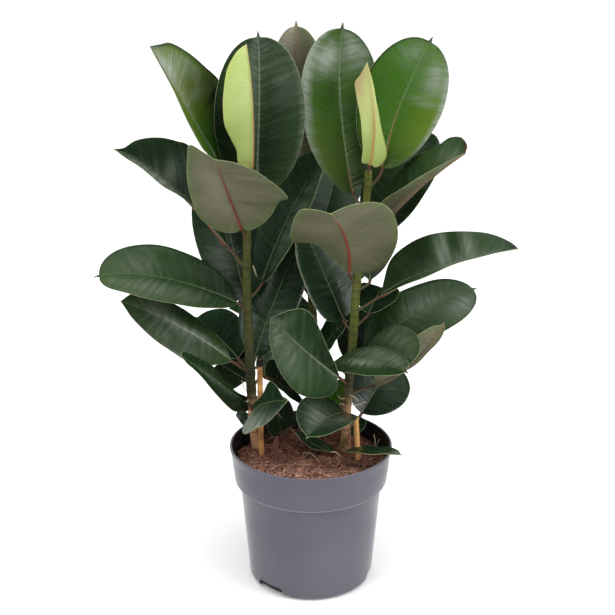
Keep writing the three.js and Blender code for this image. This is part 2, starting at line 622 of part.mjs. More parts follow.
const holes = [];
const stemHoles = {};
for (const [side, stem] of Object.entries(STEMS)) {
  plant.add(namedMesh("stem_" + side, toGeometry(stemSolid(stem, 0)), standardMaterial(COLOURS.bark, 0.8)));
  stemHoles[side] = stemSolid(stem, GAP);
  holes.push(stemHoles[side]);
}
for (const [side, ends] of Object.entries(CANES)) {
  const cane = toGeometry(caneSolid(ends, CANE_RADIUS, 0));
  plant.add(namedMesh("cane_" + side, cane, standardMaterial(COLOURS.cane, 0.6)));
  holes.push(caneSolid(ends, CANE_RADIUS, GAP));
}
for (const [side, husk] of Object.entries(HUSKS)) {
  plant.add(namedMesh("husk_" + side, toGeometry(huskSolid(husk, 0)), standardMaterial(COLOURS.husk, 0.9)));
  holes.push(huskSolid(husk, GAP));
}
plant.add(namedMesh("pot", toGeometry(potSolid()), standardMaterial(COLOURS.pot, 0.5)));
plant.add(namedMesh("soil", toGeometry(soilSolid(holes)), standardMaterial(COLOURS.soil, 1)));

const counts = {};
for (const leaf of LEAVES) {
  counts[leaf.stem] = (counts[leaf.stem] ?? 0) + 1;
  const name = "leaf_" + leaf.stem + "_" + String(counts[leaf.stem]).padStart(2, "0");
  const colour = leaf.young ? COLOURS.youngLeaf : COLOURS.leaf;
  plant.add(namedMesh(name, toGeometry(leafSolid(leaf, stemHoles[leaf.stem])), standardMaterial(colour, 0.35)));
}

export default plant;
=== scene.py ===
"""Looks of the potted rubber plant. The tables are in millimetres and the objects in metres."""
import math
import random

import bpy
import numpy as np
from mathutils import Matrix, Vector, noise


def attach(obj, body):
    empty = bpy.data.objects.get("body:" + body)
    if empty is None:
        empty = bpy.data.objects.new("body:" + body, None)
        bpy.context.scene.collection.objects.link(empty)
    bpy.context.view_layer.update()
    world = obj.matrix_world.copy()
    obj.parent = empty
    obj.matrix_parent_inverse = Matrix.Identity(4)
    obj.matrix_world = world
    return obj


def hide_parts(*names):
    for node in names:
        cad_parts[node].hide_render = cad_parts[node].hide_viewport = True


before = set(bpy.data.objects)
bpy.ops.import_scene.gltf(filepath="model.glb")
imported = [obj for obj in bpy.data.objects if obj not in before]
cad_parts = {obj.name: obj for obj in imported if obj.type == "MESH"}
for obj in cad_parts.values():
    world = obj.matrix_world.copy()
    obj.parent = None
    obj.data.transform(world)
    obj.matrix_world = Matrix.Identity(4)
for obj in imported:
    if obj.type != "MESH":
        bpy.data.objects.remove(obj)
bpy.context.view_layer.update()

MM = 0.001

# Pot
POT_HEIGHT = 212
RIM_RADIUS = 120
COLLAR_FOOT_RADIUS = 113.5
COLLAR_FOOT_HEIGHT = 158
BODY_TOP_RADIUS = 105
BODY_FOOT_RADIUS = 93
BASE_RADIUS = 88.5
WALL = 2.2
LIP_HEIGHT = 12
LIP_POINT = 26
POT_SECTORS = 168
SHARP_ANGLE = 38
DRAIN_HOLES = 6
DRAIN_HOLE_RADIUS = 6
DRAIN_CIRCLE_RADIUS = 58
DRAIN_SIDES = 24
NOTCH_AZIMUTHS = (-131, -11, 109)
NOTCH_WIDTH = 54
NOTCH_HEIGHT = 15
NOTCH_REACH = 13

# Soil
SOIL_LEVEL = 189
SOIL_GAP = 1
SOIL_EDGE = RIM_RADIUS - WALL - 5.4
SOIL_SECTORS = 132
SOIL_RINGS = 44
SOIL_REACH = 110
HOLLOW = {"x": 2, "y": 12, "depth": 7, "radius": 30}
STEM_CLEARANCE = 8.5
FIBRES = 4600
FIBRE_REACH = 108
FIBRE_RINGS = 5
FIBRE_LENGTHS = (4, 11)
LONG_FIBRE_LENGTHS = (12, 24)
SHORT_SHARE = 0.85
FIBRE_RADII = (0.3, 0.85)
FIBRE_LIFTS = (0.2, 2.6)
FIBRE_TURNS = (-1.3, 1.3)
CRUMBS = 1500
CRUMB_REACH = 106
CRUMB_SIZES = (0.8, 2.6)
STRAND_RINGS = 16
STRAND_SIDES = 6

# Stems, canes and husks
STEM_DEPTH_IN_SOIL = 50
BURIED_LEAN = 0.85
BARK_SIDES = 22
BARK_STEP = 2.2
BARK_INSET = 0.15
BARK_RINGS = range(212, 600, 27)
SWELL = 0.55
MOST_SWELL = 0.9
SWELL_REACH = 3.2
SCAR_DEPTH = 0.25
SCAR_REACH = 1.3
SCAR_ABOVE_NODE = 3
ROUGH_BARK_TOP = 330
ROUGH_BARK = 0.05
SMOOTH_BARK = 0.015
CANE_RADIUS = 4.1
CANE_SIDES = 18
CANE_STEP = 3
CANE_INSET = 0.1
CANE_JOINT_PITCH = 118
CANE_FIRST_JOINT = 60
CANE_JOINT_REACH = 2.2
CANE_JOINT_SWELL = 0.35
HUSK_RINGS = 30
HUSK_COLUMNS = 15
HUSK_HALF_THICKNESS = 0.25

# Leaves
BELLY = 1.1
ROUNDNESS = 0.46
BLADE_THICKNESS = 1.0
MARGIN_THINNING = 0.45
TIP_START = 0.965
TIP_HALF_WIDTH = 2.5
TIP_END_HALF_WIDTH = 0.5
PETIOLE_RADIUS = 2.4
PETIOLE_RINGS = 12
PETIOLE_END = 0.985
PETIOLE_SWELL = 0.45
MARGIN_INSET = 0.35
MARGIN_WAVE = 0.9
VEIN_LEAN = 0.42
VEIN_PITCH = 7.2
VEIN_RELIEF = 0.05
KEEL_HALF_WIDTH = 2.7
KEEL_TAPER = 1.7
KEEL_FOOT_DEPTH = 2 * PETIOLE_RADIUS - 1.2
KEEL_TIP_DEPTH = 0.35
KEEL_COLUMNS = (0, 0.35, 0.7, 1.0, 1.35)
KEEL_SHAPE = (1, 0.93, 0.66, 0.22, 0)
GROOVE_SHAPE = (1, 0.75, 0.2, 0, 0)
GROOVE_DEPTH = 0.55
GROOVE_TAPER = 0.4
OUTER_COLUMNS = 6
ROW_STEP = 2.3
LEAST_ROW_STEP = 0.0015
CLOSE_ROWS = (0.002, 0.005, 0.009, 0.94, 0.95, 0.957, 0.962, 0.966, 0.971)
LEAST_BEND = 1e-3
TANGENT_STEP = 0.004
STRONGEST_SPOT = 2.5
NO_RED = -0.5

# The materials of a leaf, by their place in its list.
UPPER, UNDER, MARGIN, PETIOLE = range(4)

# Floor
FLOOR_REACH = 30000
FLOOR_LEVEL = -0.3

# Camera: its place in metres, its pitch in degrees below the horizon, and its lens and sensor.
CAMERA_PLACE = (-0.005, -1.710, 1.025)
CAMERA_PITCH = 19.36
CAMERA_LENS = 74.46
CAMERA_SENSOR = 36

# Each soft light: its place, what it points at and its size, in metres, and its power.
LIGHTS = {
    "left_softbox": ((-1.7, -1.2, 1.3), (0, 0, 0.4), (1.0, 1.5), 15),
    "right_softbox": ((1.7, -0.9, 1.3), (0, 0, 0.4), (1.0, 1.5), 21),
    "top_softbox": ((0, 0.3, 2.4), (0, 0, 0.5), (3.0, 2.0), 13),
}
SKY_STRENGTH = 2.1

# Points of each stem's centre line from the soil up, and its radii at foot and head.
STEMS = {
    "left": {
        "line": [(-82, 37, 189), (-88, 37, 265), (-91, 37, 361), (-93, 36, 423),
                 (-91, 34, 523), (-88, 32, 612)],
        "radii": (7.9, 5.6),
    },
    "right": {
        "line": [(51, 23, 189), (54, 23, 271), (60, 22, 351), (66, 20, 459), (78, 16, 585), (80, 14, 622)],
        "radii": (7.6, 5.2),
    },
    "back": {
        "line": [(8, 66, 189), (6, 74, 290), (2, 84, 400), (-6, 98, 500), (-14, 112, 600)],
        "radii": (7.4, 5.4),
    },
}

# Foot and head of each cane.
CANES = {
    "left": [(-73, 6, 110), (-75, 18, 340)],
    "right": [(74, -43, 110), (67, 23, 243)],
}

# Points of each husk's centre line, and its half widths from the foot up.
HUSKS = {
    "left": {
        "line": [(-52, -4, 175), (-51, -9, 200), (-52, -14, 214), (-49, -18, 231)],
        "sizes": (6, 5.5, 4, 2),
    },
    "right": {
        "line": [(50, -37, 178), (50, -36, 194), (49, -34, 207)],
        "sizes": (4, 3.5, 1.5),
    },
}

# Dry strands and rootlets: the points of each, its radius and how pale it is.
STRANDS = [
    ([(-68, 44, 195), (-44, 40, 211), (-22, 30, 228)], 0.6, 0.25),
    ([(-50, -30, 278), (-46, -26, 268), (-41, -20, 259)], 0.35, 0.5),
    ([(-29, 20, 225), (-15, 18, 207), (-18, 16, 196)], 0.6, 0.3),
    ([(30, 0, 197), (38, -5, 198), (45, -11, 193)], 0.9, 0.95),
    ([(-12, -10, 200), (-2, -16, 203), (10, -22, 196)], 0.8, 0.4),
    ([(-102, 27, 301), (-100, 27, 292), (-96, 29, 279)], 0.6, 0.5),
    ([(-93, 30, 268), (-95, 27, 266), (-97, 26, 268)], 1.2, 0.9),
    ([(57, 17, 267), (68, 13, 267), (82, 11, 274)], 0.7, 0.95),
    ([(57, 17, 281), (64, 13, 280), (70, 12, 274)], 0.8, 0.75),
    ([(50, 17, 276), (45, 13, 277), (39, 12, 282)], 0.7, 0.45),
    ([(49, 17, 266), (43, 13, 269), (40, 12, 268)], 0.7, 0.5),
    ([(94, 20, 216), (96, 20, 206), (95, 18, 192)], 0.4, 0.8),
    ([(102, 10, 213), (99, 14, 204), (98, 16, 192)], 0.4, 0.7),
    ([(-83, 27, 478), (-80, 25, 470), (-78, 27, 461)], 1.1, 0.3),
]


def leaf_at(node, foot, middle, tip, face, fold=14, curl=0, **own):
    return dict(node=node, rib=(foot, middle, tip), face=face, fold=fold, curl=curl, **own)


# Each leaf: its node's height on the stem, the midrib's foot, middle and tip, and the way its face looks.
# `fold` and `curl` are the angles of its two halves, in degrees. An oval blade has a `width`, and its
# `belly` moves the widest place. Another has `margins`: for each half, points [along the midrib, out].
# `glow` paints light shining through the blade as a brighter yellow-green, `red` is how far up the
# midrib is red, and `keel_red` how red it is below.
LEAVES = {}
LEAVES["left"] = [
    leaf_at(598, (-85, 34, 619), (-83, 38, 704), (-89, 42, 789), (-1, -0.35, 0), fold=66, curl=30,
            young=True, margins=[
        [(5, 14), (26, 18), (41, 26), (62, 35), (85, 37), (110, 35), (138, 28), (158, 13)],
        [(6, 19), (26, 23), (41, 31), (62, 41), (85, 43), (110, 41), (140, 33), (162, 16)]]),
    leaf_at(515, (-97, 22, 534), (-114, -30, 604), (-124, -105, 663), (0.3, 0.64, 0.7), fold=(5, -8),
            curl=(5, -8), margins=[
        [(-2, 12), (10, 32), (32, 51), (69, 70), (83, 84), (117, 71), (159, 51), (183, 27)],
        [(-7, 12), (-4, 32), (17, 53), (46, 57), (101, 52), (176, 38), (236, 26), (213, 12)]]),
    leaf_at(562, (-78, 46, 582), (-72, 66, 698), (-74, 88, 801), (0.05, -0.95, 0.2), width=130, belly=1,
            fold=10, curl=6, glow=0.1),
    leaf_at(568, (-112, 42, 594), (-160, 42, 680), (-219, 42, 787), (0.7, -0.42, 0.59), fold=(24, 20),
            glow=0.75, margins=[
        [(26, 14), (53, 27), (72, 46), (97, 47), (131, 34), (166, 20), (193, 6), (208, 3)],
        [(32, 13), (66, 39), (98, 62), (128, 72), (156, 63), (185, 50), (209, 33), (216, 15)]]),
    leaf_at(470, (-123, 76, 495), (-205, 73, 591), (-276, 47, 643), (0.6, -0.6, 0.5), fold=38, margins=[
        [(29, 10), (55, 10), (82, 12), (106, 22), (133, 35), (159, 34), (183, 28), (205, 18)],
        [(53, 26), (101, 50), (135, 58), (152, 52), (169, 44), (185, 33), (198, 21), (207, 7)]]),
    leaf_at(388, (-96, 76, 408), (-120, 102, 501), (-144, 122, 603), (0.1, -0.95, 0.3), width=106),
    leaf_at(405, (-107, 24, 424), (-215, 10, 467), (-307, 0, 470), (0, -0.39, 0.92), width=120, belly=1.25,
            fold=10, curl=-4, glow=0.15),
    leaf_at(311, (-117, 20, 336), (-192, 8, 393), (-270, -4, 435), (0.4, -0.3, 0.85), fold=(-10, 20),
            curl=-6, glow=0.12, margins=[
        [(5, 11), (25, 29), (49, 44), (73, 49), (100, 46), (124, 40), (144, 32), (163, 21), (175, 10)],
        [(8, 10), (24, 19), (45, 25), (66, 28), (86, 31), (108, 32), (129, 31), (151, 26), (169, 22),
         (177, 13)]]),
    leaf_at(240, (-92, 53, 250), (-137, -22, 320), (-178, -92, 388), (0.5, -0.5, 0.7), fold=(0, 10),
            margins=[
        [(12, 14), (28, 22), (46, 27), (65, 31), (90, 30), (116, 24), (147, 16), (182, 8), (201, 6)],
        [(6, 10), (19, 9), (35, 7), (55, 8), (73, 13), (98, 16), (129, 20), (160, 17), (188, 13), (212, 8)]]),
    leaf_at(312, (-109, 54, 326), (-143, 120, 335), (-184, 195, 340), (-0.3, -0.2, 0.9), width=88, fold=16),
    leaf_at(220, (-90, 54, 229), (-97, 56, 221), (-103, 55, 213), (-0.64, -0.77, 0.1), width=46, fold=8),
    leaf_at(256, (-84, 0, 266), (-61, -43, 296), (-33, -90, 319), (-0.84, -0.31, 0.37), fold=(25, 14),
            margins=[
        [(8, 8), (20, 9), (46, 13), (69, 27), (84, 27), (96, 16), (105, 5)],
        [(-12, 10), (-28, 16), (-24, 30), (10, 43), (59, 41), (89, 30), (107, 14)]]),
    leaf_at(423, (-71, 55, 446), (-35, 62, 536), (20, 76, 636), (-0.8, -0.45, 0.2), width=112, fold=12),
    leaf_at(308, (-83, 55, 328), (-56, 76, 404), (-16, 96, 496), (-0.48, -0.77, 0.42), width=104),
    leaf_at(280, (-97, 56, 289), (-122, 104, 284), (-146, 150, 280), (-0.6, -0.3, 0.74), width=82,
            belly=0.85, fold=12),
    leaf_at(268, (-71, 38, 262), (-52, 44, 238), (-45, 52, 200), (0.7, -0.7, 0.1), width=58),
    leaf_at(286, (-68, 60, 294), (-46, 98, 266), (-18, 136, 232), (0.81, -0.06, 0.58), width=76, red=1),
    leaf_at(306, (-104, 62, 317), (-146, 132, 316), (-182, 204, 306), (0, -0.4, 0.9), width=104),
]
LEAVES["right"] = [
    leaf_at(606, (80, 10, 630), (85, 8, 695), (75, 16, 768), (-0.35, 0.9, 0.1), fold=(8, 30), curl=(0, 10),
            young=True, margins=[
        [(-5, 12), (1, 22), (13, 26), (31, 20), (55, 11), (82, 6), (111, 4)],
        [(0, 11), (18, 13), (40, 16), (72, 19), (98, 22), (116, 22), (126, 12)]]),
    leaf_at(455, (54, 6, 475), (48, -45, 537), (25, -120, 595), (-0.1, 0.8, 0.5), fold=(6, 20),
            curl=(10, 0), margins=[
        [(-5, 14), (-12, 40), (3, 58), (33, 70), (77, 73), (119, 68), (152, 50), (173, 26)],
        [(0, 7), (15, 17), (28, 29), (60, 46), (59, 80), (119, 69), (188, 41), (198, 20)]]),
    leaf_at(565, (59, 34, 583), (41, 68, 701), (44, 80, 814), (0, -1, 0.05), width=112, belly=1.25, fold=8,
            curl=4, glow=0.5, red=0.15),
    leaf_at(595, (99, 24, 621), (125, 52, 707), (168, 72, 795), (-0.1, -0.95, 0.25), width=118, fold=8,
            curl=4, glow=0.85, red=0.45),
    leaf_at(498, (93, 40, 519), (134, 82, 591), (172, 120, 658), (-0.44, -0.64, 0.63), width=112, fold=16,
            glow=0.1),
    leaf_at(532, (107, 20, 551), (152, -10, 607), (205, -48, 659), (-0.74, 0.01, 0.68), fold=(30, 80),
            glow=0.1, keel_red=0.15, margins=[
        [(12, 44), (42, 51), (71, 52), (100, 44), (121, 39), (139, 39), (157, 28), (166, 10)],
        [(9, 20), (21, 22), (42, 18), (65, 14), (87, 10), (109, 7), (131, 4), (150, 2)]]),
    leaf_at(412, (100, 12, 439), (181, -8, 489), (286, -26, 520), (-0.43, -0.12, 0.9), fold=(28, 17),
            glow=0.1, margins=[
        [(8, 15), (27, 44), (49, 56), (77, 60), (113, 54), (149, 42), (178, 29), (199, 13)],
        [(6, 14), (23, 34), (44, 39), (76, 43), (110, 33), (149, 22), (176, 12), (195, 7)]]),
    leaf_at(340, (84, 28, 350), (163, 66, 397), (250, 104, 419), (-0.3, -0.5, 0.8), width=110,
            fold=(-4, -2), glow=0.1),
    leaf_at(278, (95, 32, 292), (150, 10, 338), (190, -2, 402), (-0.41, 0.7, 0.58), width=72, fold=18,
            keel_red=0),
    leaf_at(324, (80, 14, 344), (116, -14, 362), (142, -44, 354), (-0.3, -0.55, 0.78), width=84, fold=12,
            curl=-8, glow=0.1),
    leaf_at(312, (35, 14, 337), (78, -40, 360), (133, -96, 363), (-0.26, -0.14, 0.96), width=74, belly=0.85,
            fold=4, curl=-5, glow=0.06),
    leaf_at(222, (77, 49, 238), (101, 85, 263), (134, 136, 284), (0, -0.9, 0.4), width=95, belly=1.05,
            fold=12),
    leaf_at(245, (50, 10, 257), (20, -41, 268), (-6, -92, 263), (0.3, -0.3, 0.9), width=86, fold=(30, 14)),
    leaf_at(300, (38, -64, 344), (-13, -71, 391), (-55, -78, 437), (-0.35, -0.7, 0.6), fold=(0, 26),
            glow=0.08, margins=[
        [(-8, 10), (-7, 27), (8, 43), (29, 52), (58, 49), (86, 38), (108, 24), (122, 11)],
        [(16, 12), (37, 22), (67, 36), (97, 47), (116, 45), (126, 31), (130, 16), (131, 6)]]),
    leaf_at(378, (47, 36, 395), (20, 48, 457), (-14, 66, 531), (0.56, -0.72, 0.41), width=97, belly=0.78,
            fold=12),
    leaf_at(207, (48, -30, 213), (88, -48, 221), (130, -62, 223), (-0.02, 0.25, 0.97), width=58, fold=6),
    leaf_at(200, (58, 40, 205), (60, 62, 210), (60, 92, 214), (0, -0.6, 0.8), width=50, fold=10),
    leaf_at(196, (34, 2, 197), (10, 18, 197), (-24, 44, 210), (0.25, -0.1, 0.96), width=34),
    leaf_at(240, (46, 46, 252), (40, 84, 257), (31, 124, 250), (-0.5, -0.2, 0.84), width=46, fold=12,
            glow=0.8),
    leaf_at(386, (84, 38, 402), (99, 94, 409), (112, 150, 404), (0.1, -0.1, 1), width=66),
    leaf_at(440, (86, 50, 450), (84, 140, 486), (72, 230, 492), (0, -0.4, 0.9), width=100, belly=1.4),
    leaf_at(300, (68, 48, 312), (92, 140, 340), (112, 224, 336), (0, -0.3, 0.95), width=100),
]
LEAVES["back"] = [
    leaf_at(585, (-16, 106, 600), (-20, 108, 709), (-21, 114, 812), (0.1, 0.95, 0.2), width=84, fold=12,
            curl=10, keel_red=0),
    leaf_at(308, (14, 76, 322), (28, 70, 350), (54, 62, 382), (-0.73, -0.29, 0.62), width=66, fold=12),
    leaf_at(555, (-24, 122, 570), (-52, 196, 632), (-78, 258, 664), (0.1, -0.5, 0.85), width=108),
    leaf_at(490, (12, 114, 502), (36, 190, 566), (46, 258, 606), (-0.1, -0.5, 0.85), width=104),
    leaf_at(440, (-12, 104, 452), (-30, 196, 486), (-46, 276, 494), (0, -0.4, 0.9), width=108),
    leaf_at(385, (10, 98, 398), (44, 184, 428), (74, 258, 430), (0, -0.4, 0.9), width=108),
    leaf_at(330, (-10, 94, 342), (-66, 170, 362), (-124, 228, 350), (0.1, -0.4, 0.9), width=104),
    leaf_at(244, (4, 114, 258), (-26, 216, 250), (-96, 246, 230), (0, -0.75, 0.6), width=78, belly=1.4,
            fold=12),
]

# Soft spots on single leaves: how far from foot to tip, which share across, the two reaches and the amount.
# A pale one is a painted sheen and a dark one painted shade; on a young leaf a dark one is its own pinkish
# brown.
PAINTED_SHEEN = {
    "back_01": [(0.8, 0.6, 0.6, 0.5, 0.75)],
    "left_02": [(0.5, 0.3, 0.4, 0.3, 0.3)],
    "left_03": [(0.6, -0.3, 0.35, 0.25, 0.35), (0.75, 0.5, 0.2, 0.45, 0.2), (0.5, 0.97, 0.35, 0.08, 0.5)],
    "left_04": [(0.84, 0.05, 0.10, 0.5, 1.3), (0.5, -1, 0.3, 0.12, 0.8), (0.6, 0.3, 0.04, 0.3, 0.3)],
    "left_05": [(0.65, -0.6, 0.3, 0.6, 1.1), (0.3, 0.4, 0.07, 0.6, 0.4), (0.6, 0.3, 0.06, 0.5, 0.4)],
    "left_06": [(0.35, -0.5, 0.22, 0.4, 0.35)],
    "left_07": [(0.6, -0.55, 0.4, 0.35, 0.4), (0.7, 0.35, 0.12, 0.35, 0.2)],
    "left_08": [(0.5, 0.02, 0.3, 0.25, 1.0), (0.5, -0.6, 0.35, 0.4, 0.4), (0.75, 0.5, 0.15, 0.4, 0.3)],
    "left_09": [(0.5, 0.0, 0.3, 0.25, 0.45)],
    "left_12": [(0.0, 1, 0.5, 0.6, 2.0), (0.5, 0.9, 0.4, 0.3, 0.4)],
    "left_13": [(0.5, 0.5, 0.3, 0.5, 0.2)],
    "left_14": [(0.3, 0.3, 0.2, 0.4, 0.35)],
    "right_03": [(0.65, -1, 0.35, 0.16, 2.4), (0.8, -0.45, 0.08, 0.3, 1.5), (0.85, 0.5, 0.12, 0.4, 0.9),
                 (0.5, 0.9, 0.3, 0.2, 0.4)],
    "right_04": [(0.75, 0.65, 0.13, 0.3, 0.9), (0.5, 1, 0.4, 0.08, 1.5), (0.85, -0.4, 0.1, 0.4, 0.4),
                 (0.55, 0.5, 0.03, 0.3, 0.6)],
    "right_05": [(0.6, 0.2, 0.3, 0.3, 0.3)],
    "right_06": [(0.85, -0.2, 0.12, 0.5, 0.4)],
    "right_07": [(0.5, -0.5, 0.04, 0.6, 0.8), (0.68, -0.5, 0.04, 0.5, 0.6), (0.7, 0.5, 0.3, 0.6, 0.6)],
    "right_08": [(0.82, 0.6, 0.13, 0.4, 0.5), (0.5, -0.2, 0.2, 0.3, 0.35)],
    "right_10": [(0.5, -0.6, 0.3, 0.4, 0.35)],
    "right_11": [(0.45, 0.2, 0.2, 0.25, 1.1), (0.6, -0.5, 0.4, 0.4, 0.6)],
    "right_12": [(0.5, 0.3, 0.2, 0.5, 0.12)],
    "right_13": [(0.6, 0.3, 0.25, 0.4, 0.8), (0.4, -0.5, 0.2, 0.4, 0.6)],
    "right_14": [(0.7, -0.5, 0.35, 0.5, 0.4), (0.9, 0.4, 0.1, 0.4, 0.3)],
    "right_15": [(0.55, 0.4, 0.3, 0.6, 0.15)],
    "right_16": [(0.95, 0, 0.12, 1, 0.8)],
}
# Dark spots: painted shade, and on a young leaf its own pinkish brown.
PAINTED_SHADE_AND_PINK = {
    "back_01": [(0.6, -0.6, 0.6, 0.5, 0.4)],
    "left_01": [(0.05, 0.3, 0.03, 0.5, 0.5)],
    "left_02": [(0.33, -0.6, 0.035, 0.5, 0.4), (0.05, 0, 0.1, 0.8, 0.3)],
    "left_03": [(0.15, 0.4, 0.25, 0.8, 0.6), (0.9, 0, 0.1, 1, 0.5), (0.4, -0.8, 0.4, 0.3, 0.7),
                (0.5, 0.4, 0.15, 0.2, 0.4)],
    "left_04": [(0.42, 0.85, 0.3, 0.55, 1.3), (0.08, 0.3, 0.2, 1, 0.8)],
    "left_05": [(0.45, 0.5, 0.08, 0.7, 0.4), (0.75, 0.6, 0.06, 0.5, 0.4)],
    "left_06": [(0.6, 0.3, 0.4, 0.7, 0.8), (0.1, 0, 0.3, 1, 0.5)],
    "left_07": [(0.1, 0.5, 0.25, 0.8, 0.8)],
    "left_08": [(0.4, 0.85, 0.3, 0.25, 0.5)],
    "left_09": [(0.4, -0.8, 0.4, 0.4, 0.5)],
    "left_12": [(0.7, -0.6, 0.4, 0.5, 0.6), (0.75, 0.4, 0.3, 0.6, 0.5)],
    "left_13": [(0.2, 0, 0.4, 1, 0.7), (0.7, 0.3, 0.3, 0.8, 0.4)],
    "left_14": [(0.9, 0.5, 0.3, 0.8, 0.5)],
    "right_01": [(0.85, 0.8, 0.25, 0.5, 0.9)],
    "right_02": [(0.3, 0.8, 0.4, 0.4, 0.4), (0.1, -0.2, 0.12, 0.6, 0.2)],
    "right_03": [(0.25, 0.6, 0.25, 0.5, 0.8), (0.03, 0, 0.1, 1, 0.6), (0.6, -0.2, 0.1, 0.2, 0.5)],
    "right_04": [(0.02, 0, 0.15, 1, 0.7), (0.35, -0.8, 0.3, 0.35, 0.5)],
    "right_05": [(0.3, 0, 0.4, 1.5, 0.8)],
    "right_06": [(0.2, 0, 0.3, 1, 0.5)],
    "right_07": [(0.15, -0.2, 0.2, 0.8, 0.7), (0.35, -0.5, 0.08, 0.6, 0.5), (0.6, -0.5, 0.04, 0.6, 0.5)],
    "right_08": [(0.1, 0, 0.25, 1, 0.7)],
    "right_10": [(0.1, 0, 0.3, 1, 0.6)],
    "right_11": [(0.85, 0, 0.2, 1, 0.5)],
    "right_12": [(0.1, 0, 0.3, 1.5, 0.8), (0.7, 0, 0.3, 1, 0.3)],
    "right_13": [(0.2, 0, 0.3, 1, 0.5)],
    "right_14": [(0.15, 0.5, 0.3, 0.6, 0.8)],
    "right_15": [(0.1, 0, 0.3, 1, 0.7), (0.6, -0.5, 0.4, 0.5, 0.6)],
}

# Inner leaves with painted shade all over, and how much.
SHADED = {"left_10": 0.9, "left_15": 0.9, "left_16": 0.5, "left_17": 0.8, "left_18": 0.9, "right_20": 0.8,
          "right_21": 0.8, "right_22": 0.8}
PAINTED_SHADE_AND_PINK.update({key: [(0.5, 0, 0.8, 2, amount)] for key, amount in SHADED.items()})


# Materials

class Graph:
    """A material's node tree, built from plain values and from other nodes' outputs."""

    def __init__(self, name, tree=None):
        if tree is None:
            self.material = bpy.data.materials.new(name)
            self.material.use_nodes = True
            tree = self.material.node_tree
        self.tree = tree
        self.shader = tree.nodes.get("Principled BSDF")

    def feed(self, socket, value):
        if isinstance(value, bpy.types.NodeSocket):
            self.tree.links.new(value, socket)
        elif hasattr(socket.default_value, "__len__") and len(socket.default_value) == 4:
            socket.default_value = (*value, 1)
        else:
            socket.default_value = value

    def add(self, kind, inputs, settings=None):
        node = self.tree.nodes.new("ShaderNode" + kind)
        for key, value in (settings or {}).items():
            setattr(node, key, value)
        for key, value in inputs.items():
            self.feed(node.inputs[key], value)
        return node

    def math(self, operation, a, b=0.0):
        return self.add("Math", {0: a, 1: b}, {"operation": operation}).outputs[0]

    def times(self, a, b):
        return self.math("MULTIPLY", a, b)

    def plus(self, a, b):
        return self.math("ADD", a, b)

    def ramp(self, value, low, high, start=0.0, end=1.0):
        inputs = {"Value": value, "From Min": low, "From Max": high, "To Min": start, "To Max": end}
        return self.add("MapRange", inputs, {"interpolation_type": "SMOOTHSTEP"}).outputs[0]

    def fade(self, value, low, high):
        return self.ramp(value, low, high, 1.0, 0.0)

    def mix(self, factor, a, b):
        return self.add("Mix", {0: factor, 6: a, 7: b}, {"data_type": "RGBA"}).outputs[2]

    def noise(self, vector, scale, detail=2.0, rough=0.5):
        inputs = {"Vector": vector, "Scale": scale, "Detail": detail, "Roughness": rough}
        return self.add("TexNoise", inputs).outputs[0]

    def attribute(self, name):
        return self.add("Attribute", {}, {"attribute_name": name}).outputs["Vector"]

    def parts(self, vector):
        return self.add("SeparateXYZ", {0: vector}).outputs

    def join(self, x, y, z):
        return self.add("CombineXYZ", {0: x, 1: y, 2: z}).outputs[0]

    def place(self):
        return self.add("TexCoord", {}).outputs["Object"]

    def bump(self, height, distance):
        return self.add("Bump", {"Height": height, "Distance": distance}).outputs[0]

    def finish(self, color, roughness, normal=None, **constants):
        self.feed(self.shader.inputs["Base Color"], color)
        self.feed(self.shader.inputs["Roughness"], roughness)
        if normal is not None:
            self.feed(self.shader.inputs["Normal"], normal)
        for key, value in constants.items():
            self.feed(self.shader.inputs[key.replace("_", " ")], value)
        return self.material


def vein_wave(g, along, pitch, soft):
    """1 on a lateral vein, 0 between two."""
    turns = g.times(along, 2 * math.pi / pitch)
    return g.ramp(g.math("COSINE", turns), soft, 1.0)


def leaf_parts(g):
    """Along the veins, across and foot to tip, then the distances to midrib and margin, and the painted glow.
    """
    along, across, station = g.parts(g.attribute("grain"))
    from_rib, from_edge, glow = g.parts(g.attribute("size"))
    wander = g.noise(g.place(), 22, 1)
    along = g.plus(along, g.times(wander, 2.0))
    return along, across, station, from_rib, from_edge, glow


def leaf_streaks(g, along, across):
    """Soft ridges that run with the lateral veins, 0 to 1."""
    seed = g.times(g.parts(g.place())[2], 3.0)
    return g.noise(g.join(g.times(along, 0.16), across, seed), 1.0, 3, 0.6)


